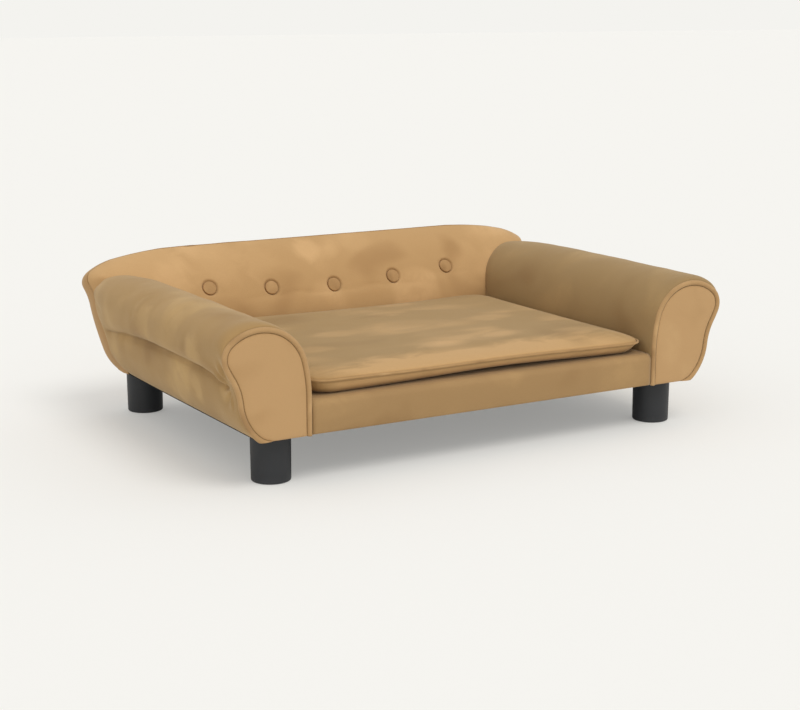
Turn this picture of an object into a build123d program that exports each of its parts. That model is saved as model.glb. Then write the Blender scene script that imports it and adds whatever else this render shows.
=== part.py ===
from build123d import *

import os
from math import atan, atan2, cos, degrees, hypot, radians, sin, sqrt, tan

os.makedirs("parts", exist_ok=True)

# A low upholstered pet sofa: two rolled arms, a leaning buttoned back, a loose
# seat cushion and four round feet. The origin is on the floor under the middle
# of the overall box, +X to the right as seen from the front, +Y to the rear and
# +Z up. All lengths are millimetres.

# Overall sizes
body_depth = 610.0
seat_width = 624.0
arm_width = 142.0
arm_height = 175.2
back_height = 201.0
foot_height = 73.0

# Fabric, clearances and overruns
cover_skin = 1.6
dust_skin = 0.8
dust_margin = 5.0
rest_gap = 0.3
slip_gap = 0.1
overrun = 40.0

# Feet and their fixings
foot_radius = 30.5
foot_taper = 0.6
foot_round = 2.5
foot_front_inset = 55.3
foot_rear_inset = 35.3
glide_radius = 24.0
glide_height = 2.5
glide_stand = 0.5
stud_radius = 4.0
stud_in_foot = 24.0
stud_in_block = 16.0
insert_wall = 1.5
insert_length = 18.0

# Base frame
rail_thickness = 18.0
rail_height = 36.2
side_rail_set = 7.9
inner_rail_lap = 10.0
inner_rail_width = 26.0
block_length = 60.0
seat_board_thickness = 9.0

# Deck upholstery between the arms
deck_pad = 5.6
band_set = 4.0
deck_round = 10.0

# Arm outline, as shares of the arm's width and height, from the inner face over the roll
arm_share = [
    (0.0, 0.297),
    (0.042, 0.618),
    (0.374, 0.957),
    (0.893, 0.937),
    (0.989, 0.728),
    (0.906, 0.547),
    (0.835, 0.295),
    (0.619, 0.0),
]

# Facing outline, as shares of the facing's own width and height
facing_share = [
    (0.0, 0.353),
    (0.052, 0.689),
    (0.370, 0.972),
    (0.935, 0.905),
    (0.989, 0.719),
    (0.921, 0.620),
    (0.819, 0.375),
    (0.593, 0.0),
]
welt_radius = 4.5
facing_crown = 14.8
facing_set = 4.0
facing_round = 1.2
rim_depth = 14.0
rim_share = [(0.0, 0.0), (0.5, 0.134), (0.8, 0.4), (0.95, 0.69), (1.0, 1.0)]

# Arm frame
arm_board_thickness = 12.0
arm_board_lap = 1.5
rear_board_set = 18.0
batten_width = 18.0
batten_height = 30.0
batten_share = [(0.10, 0.34), (0.62, 0.36), (0.50, 0.76)]

# Wood screws
screw_radius = 2.0
screw_head_radius = 4.0
screw_head_height = 2.5
screw_sink = 10.0
screw_length = 60.0
screw_edge = 5.0

# Back outline, as shares of its reach beyond the seat and of its height along the slope
back_share = [
    (-0.320, 1.0),
    (0.608, 0.942),
    (0.936, 0.859),
    (0.987, 0.752),
    (0.930, 0.611),
    (0.821, 0.248),
    (0.655, 0.086),
]
back_side_margin = 9.2
back_front_set = 109.0
back_seam_set = 96.0
back_seam_reach = 73.0
rear_lean = 26.0
pad_depth = 60.0
pad_draw_in = 45.0

# Back frame
rear_pad = 5.0
back_board_thickness = 9.0
back_board_inset = 12.0
upright_thickness = 15.0
upright_foot = 34.0
upright_head = 24.0
upright_height = 116.0
upright_share = [-0.93, -0.32, 0.32, 0.93]
top_batten_height = 22.0
top_batten_depth = 19.0
top_batten_share = 0.76

# Covered buttons, as shares of the back's half width and of its height
button_share = [(-0.540, 0.669), (-0.278, 0.626), (0.0, 0.603), (0.278, 0.626), (0.540, 0.669)]
button_radius = 10.5
button_round = 1.8
button_sink = 1.5
dimple_depth = 6.0
dimple_flare = 6.5
tie_radius = 0.8
knot_radius = 2.2

# Seat cushion, with heights and insets as shares of its thickness and of half its depth
cushion_thickness = 34.5
cushion_side_gap = 5.6
cushion_front_set = 13.0
cushion_back_gap = 6.0
cushion_corner = 26.0
cushion_bow_share = 0.012
cushion_skin = 1.4
crown_share = [
    (0.0, 0.014),
    (0.08, 0.006),
    (0.32, 0.003),
    (0.58, 0.0),
    (0.70, 0.022),
    (0.83, 0.075),
    (0.94, 0.17),
    (1.0, 0.30),
]
cushion_seam_share = 0.58
piping_radius = 1.8

# Zip in the cushion's rear boxing
zip_length = 300.0
zip_sink = 5.0
zip_height_share = 0.32
tape_width = 11.0
tape_skin = 0.8
coil_width = 3.0
coil_height = 1.3
slider_width = 8.0
slider_height = 8.0
slider_depth = 3.2
slider_end = 20.0
bar_radius = 0.6
bar_gap = 0.08
bar_stand = 1.7
post_width = 1.0
eye_wall = 0.7
pull_length = 8.0
pull_width = 4.6
pull_thickness = 0.9

# Staples that hold the dust cover
staple_crown = 10.0
staple_wire = 0.6
staple_leg = 6.0
staple_count = 7
staple_span_share = 0.7

# Places worked out from the sizes above
arm_inner = seat_width / 2
arm_outer = arm_inner + arm_width
body_floor = foot_height
front_face = -body_depth / 2
rim_front = front_face + 2 * welt_radius
rim_rear = rim_front + rim_depth
frame_front = rim_front + cover_skin
facing_front = front_face + facing_set
band_front = front_face + band_set
facing_margin = 2 * welt_radius + slip_gap
facing_width = arm_width - 2 * facing_margin
facing_height = arm_height - facing_crown
base_half = arm_inner + arm_width * arm_share[-1][0] - side_rail_set
base_floor = body_floor + dust_skin
rail_top = base_floor + rail_height
seat_top = rail_top + seat_board_thickness
deck_top = seat_top + deck_pad + cover_skin
deck_half = arm_inner - rest_gap
inner_rail_start = arm_inner - inner_rail_lap
inner_rail_end = inner_rail_start + inner_rail_width
side_rail_start = base_half - rail_thickness
seam_slope = back_seam_reach / back_height
seam_lean = atan(seam_slope)
seam_length = hypot(back_seam_reach, back_height)
rear_top = body_depth / 2
back_front = rear_top - back_front_set
back_seam_foot = rear_top - back_seam_set
rear_board_place = back_front - rear_board_set
seam_top_y = back_seam_foot + back_seam_reach
back_top = body_floor + back_height
back_half = arm_outer - back_side_margin
rear_foot = rear_top - rear_lean
rear_corner = back_top - (rear_top - seam_top_y) * seam_slope
rear_slope = rear_lean / (rear_corner - body_floor)
board_rear = cover_skin + rear_pad
board_front = board_rear + back_board_thickness
frame_rear = rear_foot - board_rear
seam_plane = Plane(
    origin=(0, back_seam_foot, body_floor),
    x_dir=(1, 0, 0),
    z_dir=(0, -cos(seam_lean), sin(seam_lean)),
)
pad_rise = back_top - seat_top
pad_run = seam_top_y - back_front
pad_radius = (pad_rise**2 + pad_run**2) / (2 * pad_run)


def rear_y(z, inset=0.0):
    # Place of the rear face at a height, or of a face at a set depth inside it
    return rear_foot + rear_slope * (z - body_floor) - inset


def pad_y(z):
    # Place of the back pad's front face at a height above the seat board
    return back_front + pad_radius - sqrt(pad_radius**2 - (z - seat_top) ** 2)


seat_rear = rear_y(seat_top, board_rear)


def smooth_run(start, heading, ends, grow=0.0):
    # Arcs, each tangent to the one before, from a start and a heading in degrees through
    # the ends, as start, middle and end points; grow moves the whole run to its left
    headings = [heading]
    points = [start]
    for end in ends:
        chord = degrees(atan2(end[1] - points[-1][1], end[0] - points[-1][0]))
        half_turn = (chord - headings[-1] + 180) % 360 - 180
        headings.append(headings[-1] + 2 * half_turn)
        points.append(end)
    moved = []
    for (x, y), angle in zip(points, headings):
        moved.append((x - grow * sin(radians(angle)), y + grow * cos(radians(angle))))
    arcs = []
    for i in range(len(ends)):
        a, b = moved[i], moved[i + 1]
        bulge = tan(radians(headings[i + 1] - headings[i]) / 4) / 2
        middle = ((a[0] + b[0]) / 2 + (b[1] - a[1]) * bulge, (a[1] + b[1]) / 2 - (b[0] - a[0]) * bulge)
        arcs.append((a, middle, b))
    return arcs


def scaled(share, left, floor, wide, tall):
    # Real places of a table of shares
    return [(left + x * wide, floor + z * tall) for x, z in share]


def arm_points(blend):
    # Outline of the right arm: 0 is the full roll, 1 the facing itself
    full = scaled(arm_share, arm_inner, body_floor, arm_width, arm_height)
    drawn = scaled(facing_share, arm_inner + facing_margin, body_floor, facing_width, facing_height)
    points = []
    for whole, small in zip(full, drawn):
        points.append(tuple(a + (b - a) * blend for a, b in zip(whole, small)))
    return points


def arm_face(blend=0.0, grow=0.0):
    # Face inside the arm's outline, with upright sides below the body
    low = body_floor - overrun
    points = arm_points(blend)
    arcs = smooth_run(points[0], 90, points[1:], grow)
    with BuildSketch() as face:
        with BuildLine():
            Line((arcs[0][0][0], low), arcs[0][0])
            for arc in arcs:
                ThreePointArc(*arc)
            Polyline(arcs[-1][2], (arcs[-1][2][0], low), (arcs[0][0][0], low))
        make_face()
    return face.sketch


def back_face(grow=0.0, draw_in=0.0):
    # Both halves of the back's outline, drawn on the seam's plane from its foot up
    narrow = 1 - draw_in / back_half
    tall = seam_length - draw_in
    reach = back_half - arm_inner
    points = [(x * narrow, z) for x, z in scaled(back_share, arm_inner, 0, reach, tall)]
    arcs = smooth_run(points[0], 0, points[1:], grow)
    with BuildSketch() as face:
        with BuildLine():
            Line((0, tall + grow), arcs[0][0])
            for arc in arcs:
                ThreePointArc(*arc)
            Polyline(arcs[-1][2], (arcs[-1][2][0], -overrun), (0, -overrun))
            mirror(about=Plane.YZ)
        make_face()
    return face.sketch


def lean_face(front_skin=0.0, rear_skin=0.0):
    # Side view of the whole back: the bulging front face and the leaning rear face
    low = body_floor - overrun
    high = back_top + overrun
    arc = smooth_run((back_front, seat_top), 90, [(seam_top_y, back_top)], -front_skin)[0]
    with BuildSketch() as face:
        with BuildLine():
            Line((arc[0][0], low), arc[0])
            ThreePointArc(*arc)
            Polyline(
                arc[2],
                (arc[2][0], high),
                (rear_y(high, rear_skin), high),
                (rear_y(low, rear_skin), low),
                (arc[0][0], low),
            )
        make_face()
    return face.sketch


def strip_face(low, high, front, front_high, rear):
    # Side view of a piece of the back frame that leans with the rear face
    with BuildSketch() as face:
        with BuildLine():
            Polyline(
                (front, low),
                (rear_y(low, rear), low),
                (rear_y(high, rear), high),
                (front_high, high),
                (front, low),
            )
        make_face()
    return face.sketch


def deck_face(skin=0.0):
    # Side view of the deck upholstery, from the front band over the seat board
    front = band_front + skin
    top = deck_top - skin
    bend = deck_round - skin
    low = body_floor - overrun
    with BuildSketch() as face:
        with BuildLine():
            Line((front, low), (front, top - bend))
            RadiusArc((front, top - bend), (front + bend, top), bend)
            Polyline((front + bend, top), (seam_top_y, top), (seam_top_y, low), (front, low))
        make_face()
    return face.sketch


def side_slab(face, start, width):
    # A side-view face drawn out across the part
    with BuildPart() as slab:
        with BuildSketch(Plane.YZ.offset(start)):
            add(face)
        extrude(amount=width)
    return slab.part


def box_between(low, high):
    with BuildPart() as block:
        with Locations([tuple((a + b) / 2 for a, b in zip(low, high))]):
            Box(*[b - a for a, b in zip(low, high)])
    return block.part


def without(part, *tools):
    with BuildPart() as cut:
        add(part)
        for tool in tools:
            add(tool, mode=Mode.SUBTRACT)
    return cut.part


def mirrored(part):
    with BuildPart() as twin:
        add(part)
        mirror(about=Plane.YZ, mode=Mode.REPLACE)
    return twin.part


def finish(part, name):
    part.label = name
    export_step(part, "parts/" + name + ".step")


def finish_pair(part, name):
    finish(part, "right_" + name)
    finish(mirrored(part), "left_" + name)


def rods(spots, low, radius, length, bore=0.0):
    # Upright rods, or tubes where there is a bore
    with BuildPart() as group:
        with BuildSketch(Plane.XY.offset(low)):
            with Locations(spots):
                Circle(radius)
                if bore:
                    Circle(bore, mode=Mode.SUBTRACT)
        extrude(amount=length)
    return group.part


# Feet: turned blocks with a glide below and a stud above
foot_x = arm_inner + arm_width * arm_share[-1][0] / 2
foot_front_y = front_face + foot_front_inset
foot_rear_y = rear_foot - foot_rear_inset
foot_names = ["foot_front_right", "foot_front_left", "foot_rear_right", "foot_rear_left"]
foot_spots = [(foot_x, foot_front_y), (-foot_x, foot_front_y), (foot_x, foot_rear_y), (-foot_x, foot_rear_y)]
stud_bore = stud_radius + slip_gap
insert_radius = stud_bore + insert_wall

for name, (x, y) in zip(foot_names, foot_spots):
    with BuildPart() as foot:
        with BuildSketch(Plane((x, y, glide_stand))):
            Circle(foot_radius - foot_taper)
        with BuildSketch(Plane((x, y, foot_height))):
            Circle(foot_radius)
        loft()
        fillet(foot.edges().group_by(Axis.Z)[0], radius=foot_round)
        with BuildSketch(Plane((x, y, glide_height))):
            Circle(glide_radius + slip_gap)
        extrude(amount=-overrun, mode=Mode.SUBTRACT)
        with BuildSketch(Plane((x, y, foot_height))):
            Circle(stud_bore)
        extrude(amount=-stud_in_foot - rest_gap, mode=Mode.SUBTRACT)
    finish(foot.part, name)

with BuildPart() as glides:
    add(rods(foot_spots, 0, glide_radius, glide_height))
    fillet(glides.edges().group_by(Axis.Z)[0], radius=glide_stand)
finish(glides.part, "foot_glides")

stud_length = stud_in_foot + dust_skin + stud_in_block
finish(rods(foot_spots, foot_height - stud_in_foot, stud_radius, stud_length), "foot_studs")
finish(rods(foot_spots, base_floor, insert_radius, insert_length, stud_bore), "foot_inserts")
insert_bores = rods(foot_spots, base_floor, insert_radius + slip_gap, insert_length + slip_gap)
dust_holes = rods(foot_spots, body_floor, stud_bore, dust_skin)

# Staples through the dust cover into the front and rear rails
staple_reach = base_half * staple_span_share
staple_spots = []
for rail_y in (frame_front + rail_thickness / 2, frame_rear - rail_thickness / 2):
    for i in range(staple_count):
        staple_spots.append((-staple_reach + 2 * staple_reach * i / (staple_count - 1), rail_y))


def staple_legs(slack=0.0):
    with BuildPart() as legs:
        with BuildSketch(Plane.XY.offset(body_floor)):
            for x, y in staple_spots:
                for end in (-1, 1):
                    with Locations([(x + end * (staple_crown - staple_wire) / 2, y)]):
                        Rectangle(staple_wire + 2 * slack, 2 * staple_wire + 2 * slack)
        extrude(amount=dust_skin + staple_leg + slack)
    return legs.part


with BuildPart() as staples:
    with BuildSketch(Plane.XY.offset(body_floor)):
        with Locations(staple_spots):
            Rectangle(staple_crown, 2 * staple_wire)
    extrude(amount=-staple_wire)
    add(staple_legs())
finish(staples.part, "dust_cover_staples")
staple_holes = staple_legs(slip_gap)

# Countersunk screws, driven up from below the rails
arm_screw_xs = [inner_rail_end - screw_edge, side_rail_start + rail_thickness / 2]
arm_screw_ys = [frame_front + arm_board_thickness / 2, rear_board_place + arm_board_thickness / 2]
arm_screw_spots = [(side * x, y) for side in (-1, 1) for x in arm_screw_xs for y in arm_screw_ys]
upright_xs = [share * arm_inner for share in upright_share]
back_screw_spots = [(x, frame_rear - rail_thickness / 2) for x in upright_xs]
screw_floor = base_floor + screw_sink


def screw_set(spots, slack=0.0):
    # Screws with cone heads; slack makes them the bores, open below
    with BuildPart() as group:
        add(rods(spots, screw_floor, screw_radius + slack, screw_length + slack))
        for x, y in spots:
            with BuildSketch(Plane((x, y, screw_floor))):
                Circle(screw_head_radius + slack)
            with BuildSketch(Plane((x, y, screw_floor + screw_head_height))):
                Circle(screw_radius + slack)
            loft()
        if slack:
            add(rods(spots, base_floor, screw_head_radius + slack, screw_sink))
    return group.part


finish(screw_set(arm_screw_spots), "arm_screws")
finish(screw_set(back_screw_spots), "back_screws")
arm_screw_bores = screw_set(arm_screw_spots, slip_gap)
back_screw_bores = screw_set(back_screw_spots, slip_gap)

# Base frame of rails, foot blocks, seat board and dust cover
rail_front = frame_front + rail_thickness
rail_rear = frame_rear - rail_thickness
dust_half = base_half + dust_margin

dust_cover = box_between((-dust_half, frame_front, body_floor), (dust_half, frame_rear, base_floor))
finish(without(dust_cover, dust_holes, staple_holes), "dust_cover")

front_rail = box_between((-base_half, frame_front, base_floor), (base_half, rail_front, rail_top))
finish(without(front_rail, arm_screw_bores, staple_holes), "front_rail")
rear_rail = box_between((-base_half, rail_rear, base_floor), (base_half, frame_rear, rail_top))
finish(without(rear_rail, back_screw_bores, staple_holes), "rear_rail")
side_rail = box_between((side_rail_start, rail_front, base_floor), (base_half, rail_rear, rail_top))
finish_pair(without(side_rail, arm_screw_bores), "side_rail")
inner_rail = box_between((inner_rail_start, rail_front, base_floor), (inner_rail_end, rail_rear, rail_top))
finish_pair(without(inner_rail, arm_screw_bores), "inner_rail")
rail_half = rail_thickness / 2
centre_rail = box_between((-rail_half, rail_front, base_floor), (rail_half, rail_rear, rail_top))
finish(centre_rail, "centre_rail")

with BuildPart() as foot_blocks:
    for y_start, y_end in ((rail_front, rail_front + block_length), (rail_rear - block_length, rail_rear)):
        add(box_between((inner_rail_end, y_start, base_floor), (side_rail_start, y_end, rail_top)))
    mirror(about=Plane.YZ)
    add(insert_bores, mode=Mode.SUBTRACT)
finish(foot_blocks.part, "foot_blocks")

seat_board = box_between((-deck_half, frame_front, rail_top), (deck_half, seat_rear, seat_top))
finish(without(seat_board, back_screw_bores), "seat_board")

# Space that the upholstery leaves to the base frame
with BuildPart() as base_space:
    add(dust_cover)
    add(box_between((-base_half, frame_front, base_floor), (base_half, frame_rear, rail_top)))
    add(seat_board)


def front_pad(skin=0.0):
    # Bulging part of the back, in front of its seam
    with BuildPart() as pad:
        with BuildSketch(seam_plane):
            add(back_face(-skin))
        with BuildSketch(seam_plane.offset(pad_depth)):
            add(back_face(-skin, pad_draw_in))
        loft(ruled=True)
        add(side_slab(lean_face(skin), -arm_outer, 2 * arm_outer), mode=Mode.INTERSECT)
        split(bisect_by=Plane.XY.offset(seat_top), keep=Keep.TOP)
    return pad.part


def rear_part(side_skin=0.0, rear_skin=0.0):
    # Part of the back behind its seam, down to the floor of the body
    with BuildPart() as rear:
        with BuildSketch(seam_plane):
            add(back_face(-side_skin))
        extrude(amount=-body_depth / 2)
        add(side_slab(lean_face(0, rear_skin), -arm_outer, 2 * arm_outer), mode=Mode.INTERSECT)
        split(bisect_by=Plane.XY.offset(body_floor), keep=Keep.TOP)
    return rear.part


# Buttons in dimples, each tied through the back board to a knot behind it
bowl_rim = button_radius + dimple_flare
bowl_radius = (bowl_rim**2 + dimple_depth**2) / (2 * dimple_depth)
button_planes = []
for x_share, z_share in button_share:
    button_z = body_floor + z_share * back_height
    tilt_share = (button_z - seat_top) / pad_radius
    outward = (0, -sqrt(1 - tilt_share**2), tilt_share)
    button_planes.append(Plane((x_share * back_half, pad_y(button_z), button_z), (1, 0, 0), outward))


def tie_length(plane):
    # From the floor of a dimple, straight back to the middle of the padding behind the board
    start = plane.origin - plane.z_dir * dimple_depth
    gap = rear_y(start.Z, board_rear - rear_pad / 2) - start.Y
    return gap / (rear_slope * plane.z_dir.Z - plane.z_dir.Y)


def bowls(grow=0.0):
    with BuildPart() as group:
        for plane in button_planes:
            with Locations(plane.offset(bowl_radius - dimple_depth)):
                Sphere(bowl_radius + grow)
    return group.part


def ties(slack=0.0):
    with BuildPart() as group:
        for plane in button_planes:
            start = plane.offset(-dimple_depth)
            with BuildSketch(start):
                Circle(tie_radius + slack)
            extrude(amount=-tie_length(plane))
            with Locations(start.offset(-tie_length(plane))):
                Sphere(knot_radius + slack)
    return group.part


button_list = []
for plane in button_planes:
    with BuildPart() as button:
        with BuildSketch(plane.offset(-button_sink)):
            Circle(button_radius)
        extrude(amount=-dimple_depth)
        fillet(button.edges().sort_by(Axis(plane.origin, plane.z_dir))[-1], radius=button_round)
        with Locations(plane.offset(bowl_radius - dimple_depth)):
            Sphere(bowl_radius - slip_gap, mode=Mode.INTERSECT)
    button_list.append(button.part)
with BuildPart() as buttons:
    for button_part in button_list:
        add(button_part)
finish(buttons.part, "back_buttons")
finish(ties(), "button_ties")
tie_bores = ties(slip_gap)

# Back frame: leaning board, uprights on the seat board and a top batten
board_high = back_top + overrun
board_strip = strip_face(
    seat_top, board_high, rear_y(seat_top, board_front), rear_y(board_high, board_front), board_rear
)
with BuildPart() as back_board:
    with BuildSketch(seam_plane):
        add(back_face(-cover_skin - back_board_inset))
    extrude(amount=-body_depth / 2)
    add(side_slab(board_strip, -arm_outer, 2 * arm_outer), mode=Mode.INTERSECT)
    add(tie_bores, mode=Mode.SUBTRACT)
finish(back_board.part, "back_board")

upright_top = seat_top + upright_height
upright_face = strip_face(
    seat_top,
    upright_top,
    rear_y(seat_top, board_front) - upright_foot,
    rear_y(upright_top, board_front) - upright_head,
    board_front,
)
with BuildPart() as uprights:
    for x in upright_xs:
        add(side_slab(upright_face, x - upright_thickness / 2, upright_thickness))
    add(back_screw_bores, mode=Mode.SUBTRACT)
finish(uprights.part, "back_uprights")

batten_top = upright_top + top_batten_height
batten_half = back_half * top_batten_share
batten_face = strip_face(
    upright_top,
    batten_top,
    rear_y(upright_top, board_front) - top_batten_depth,
    rear_y(batten_top, board_front) - top_batten_depth,
    board_front,
)
top_batten = side_slab(batten_face, -batten_half, 2 * batten_half)
finish(top_batten, "back_top_batten")

# Back upholstery: front cover, border strip, rear cover and the foam inside
pad_outer = front_pad()
pad_inner = without(front_pad(cover_skin), bowls(cover_skin))
rear_outer = rear_part()
rear_ringed = rear_part(cover_skin)
rear_inner = rear_part(cover_skin, cover_skin)

finish(without(pad_outer, bowls(), pad_inner, tie_bores), "back_front_cover")
finish(without(rear_outer, rear_ringed), "back_border")
finish(without(rear_ringed, rear_inner), "back_rear_cover")

with BuildPart() as back_foam:
    add(pad_inner)
    add(rear_inner)
    for inner_piece in (base_space.part, back_board.part, uprights.part, top_batten):
        add(inner_piece, mode=Mode.SUBTRACT)
    add(tie_bores, mode=Mode.SUBTRACT)
    add(back_screw_bores, mode=Mode.SUBTRACT)
finish(back_foam.part, "back_foam")


# Deck upholstery over the seat board and down the front
def deck_volume(skin=0.0):
    with BuildPart() as deck:
        add(side_slab(deck_face(skin), -deck_half, 2 * deck_half))
        add(base_space.part, mode=Mode.SUBTRACT)
        add(pad_outer, mode=Mode.SUBTRACT)
        split(bisect_by=Plane.XY.offset(body_floor), keep=Keep.TOP)
        split(bisect_by=Plane.XZ.offset(-back_seam_foot), keep=Keep.TOP)
    return deck.part


deck_foam = deck_volume(cover_skin)
finish(without(deck_volume(), deck_foam), "deck_cover")
finish(deck_foam, "deck_foam")


# Arms: the right one is made, the left one mirrored from it
def arm_volume(skin=0.0):
    # The arm's roll, drawn in at its front rim and cut off at the back's seam and pad
    with BuildPart() as volume:
        with BuildSketch(Plane.XZ.offset(-rim_rear)):
            add(arm_face(0, -skin))
        extrude(amount=-body_depth)
        for depth_share, blend in rim_share:
            with BuildSketch(Plane.XZ.offset(-rim_rear + (rim_depth - skin) * depth_share)):
                add(arm_face(blend, blend * facing_margin - skin))
        loft(ruled=True)
        split(bisect_by=seam_plane.offset(skin), keep=Keep.TOP)
        split(bisect_by=Plane.XY.offset(body_floor), keep=Keep.TOP)
        add(pad_outer, mode=Mode.SUBTRACT)
        add(base_space.part, mode=Mode.SUBTRACT)
    return volume.part


def facing_slab(front, depth, grow=0.0, floor=body_floor):
    # A slab with the facing's outline, from a front face rearwards and above a floor
    with BuildPart() as slab:
        with BuildSketch(Plane.XZ.offset(-front)):
            add(arm_face(1.0, grow))
        extrude(amount=-depth)
        split(bisect_by=Plane.XY.offset(floor), keep=Keep.TOP)
    return slab.part


arm_outside = arm_volume()
arm_inside = arm_volume(cover_skin)
facing_hole = facing_slab(rim_front, cover_skin)
finish_pair(without(arm_outside, arm_inside, facing_hole), "arm_cover")

facing_back = facing_front + cover_skin
facing_core = facing_slab(facing_back, frame_front - facing_back, -cover_skin)
with BuildPart() as facing_cover:
    add(facing_slab(facing_front, frame_front - facing_front))
    front_edges = facing_cover.faces().sort_by(Axis.Y)[0].edges()
    fillet(front_edges.filter_by(lambda edge: edge.center().Z > body_floor + slip_gap), radius=facing_round)
    add(facing_core, mode=Mode.SUBTRACT)
finish_pair(facing_cover.part, "arm_facing_cover")
finish_pair(facing_core, "arm_facing_board")

welt_points = arm_points(1.0)
welt_arcs = smooth_run(welt_points[0], 90, welt_points[1:], welt_radius + slip_gap)
with BuildPart() as welt:
    with BuildLine(Plane.XZ.offset(-front_face - welt_radius)) as welt_path:
        Line((welt_arcs[0][0][0], body_floor - welt_radius), welt_arcs[0][0])
        for arc in welt_arcs:
            ThreePointArc(*arc)
    with BuildSketch(Plane(origin=welt_path.line @ 0, z_dir=welt_path.line % 0)):
        Circle(welt_radius)
    sweep(path=welt_path.line)
    split(bisect_by=Plane.XY.offset(body_floor), keep=Keep.TOP)
finish_pair(welt.part, "arm_welt")

front_board = facing_slab(frame_front, arm_board_thickness, arm_board_lap, rail_top)
rear_board = facing_slab(rear_board_place, arm_board_thickness, arm_board_lap, rail_top)
finish_pair(without(front_board, arm_screw_bores), "arm_front_board")
finish_pair(without(rear_board, arm_screw_bores), "arm_rear_board")

batten_start = frame_front + arm_board_thickness
batten_spots = scaled(batten_share, arm_inner + facing_margin, body_floor, facing_width, facing_height)
with BuildPart() as battens:
    with BuildSketch(Plane.XZ.offset(-batten_start)):
        with Locations(batten_spots):
            Rectangle(batten_width, batten_height)
    extrude(amount=batten_start - rear_board_place)
finish_pair(battens.part, "arm_battens")
finish_pair(without(arm_inside, front_board, rear_board, battens.part), "arm_foam")

# Seat cushion: crowned body with drawn-in sides, piped along its seam
cushion_half = arm_inner - cushion_side_gap
cushion_front = front_face + cushion_front_set
cushion_rear = back_front - cushion_back_gap
cushion_reach = (cushion_rear - cushion_front) / 2
cushion_floor = deck_top + rest_gap
cushion_seam = cushion_floor + cushion_seam_share * cushion_thickness


def cushion_run(inset=0.0, grow=0.0):
    # Outline of the cushion from above: four drawn-in sides and four round corners
    side = cushion_half - inset
    front = cushion_front + inset
    rear = cushion_rear - inset
    flat = side - cushion_corner
    ends = [
        (flat, front),
        (side, front + cushion_corner),
        (side, rear - cushion_corner),
        (flat, rear),
        (-flat, rear),
        (-side, rear - cushion_corner),
        (-side, front + cushion_corner),
        (-flat, front),
    ]
    return smooth_run(ends[-1], 2 * degrees(atan(cushion_bow_share)), ends, -grow)


def cushion_body(skin=0.0):
    with BuildPart() as body:
        for z_share, inset_share in crown_share:
            height = cushion_floor + skin + z_share * (cushion_thickness - 2 * skin)
            with BuildSketch(Plane.XY.offset(height)):
                with BuildLine():
                    for arc in cushion_run(inset_share * cushion_reach + skin):
                        ThreePointArc(*arc)
                make_face()
        loft(ruled=True)
    return body.part


with BuildPart() as piping:
    with BuildLine(Plane.XY.offset(cushion_seam)) as piping_path:
        for arc in cushion_run(grow=piping_radius + slip_gap):
            ThreePointArc(*arc)
    with BuildSketch(Plane(origin=piping_path.line @ 0, z_dir=piping_path.line % 0)):
        Circle(piping_radius)
    sweep(path=piping_path.line)
finish(piping.part, "cushion_piping")

zip_z = cushion_floor + zip_height_share * cushion_thickness
cushion_bow = cushion_bow_share * (cushion_half - cushion_corner)
zip_floor = cushion_rear - cushion_bow - zip_sink
zip_half = zip_length / 2
tape_half = tape_width / 2
zip_well = box_between(
    (-zip_half, zip_floor, zip_z - tape_half), (zip_half, cushion_rear + zip_sink, zip_z + tape_half)
)
cushion_inner = without(cushion_body(cushion_skin), zip_well)
finish(without(cushion_body(), cushion_inner, zip_well), "cushion_cover")
finish(cushion_inner, "cushion_foam")

# Zip: tape with its closed coil, a slider over the coil and a hanging pull
coil_floor = zip_floor + tape_skin
coil_top = coil_floor + coil_height
coil_half = coil_width / 2
with BuildPart() as zip_tape:
    add(box_between((-zip_half, zip_floor, zip_z - tape_half), (zip_half, coil_floor, zip_z + tape_half)))
    add(box_between((-zip_half, coil_floor, zip_z - coil_half), (zip_half, coil_top, zip_z + coil_half)))
finish(zip_tape.part, "zip_tape")

slider_x = zip_half - slider_end
slider_back = coil_floor + slip_gap
slider_face = slider_back + slider_depth
bar_y = slider_face + bar_stand
post_inner = pull_width / 2 + slip_gap
post_half = bar_radius + eye_wall
coil_room = coil_half + slip_gap
with BuildPart() as zip_slider:
    add(
        box_between(
            (slider_x - slider_width / 2, slider_back, zip_z - slider_height / 2),
            (slider_x + slider_width / 2, slider_face, zip_z + slider_height / 2),
        )
    )
    for side in (-1, 1):
        post_x = slider_x + side * (post_inner + post_width / 2)
        with BuildSketch(Plane((post_x, slider_face, zip_z), (1, 0, 0), (0, 1, 0))):
            Rectangle(post_width, 2 * post_half)
        extrude(amount=bar_stand + post_half)
    with BuildSketch(Plane((slider_x - post_inner, bar_y, zip_z), (0, 1, 0), (1, 0, 0))):
        Circle(bar_radius)
    extrude(amount=2 * post_inner)
    add(
        box_between(
            (slider_x - slider_width, slider_back - slider_depth, zip_z - coil_room),
            (slider_x + slider_width, coil_top + slip_gap, zip_z + coil_room),
        ),
        mode=Mode.SUBTRACT,
    )
finish(zip_slider.part, "zip_slider")

with BuildPart() as zip_pull:
    pull_plane = Plane((slider_x - pull_width / 2, bar_y, zip_z), (0, 1, 0), (1, 0, 0))
    with BuildSketch(pull_plane):
        Circle(bar_radius + bar_gap + eye_wall)
    extrude(amount=pull_width)
    add(
        box_between(
            (slider_x - pull_width / 2, bar_y - pull_thickness / 2, zip_z - pull_length),
            (slider_x + pull_width / 2, bar_y + pull_thickness / 2, zip_z),
        )
    )
    with BuildSketch(pull_plane):
        Circle(bar_radius + bar_gap)
    extrude(amount=pull_width, mode=Mode.SUBTRACT)
finish(zip_pull.part, "zip_pull")
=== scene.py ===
"""Looks of a low velvet pet sofa: rolled arms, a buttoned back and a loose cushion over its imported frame."""

import logging
import math
from dataclasses import dataclass
from enum import Enum
from typing import Callable, Sequence, Union

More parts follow.
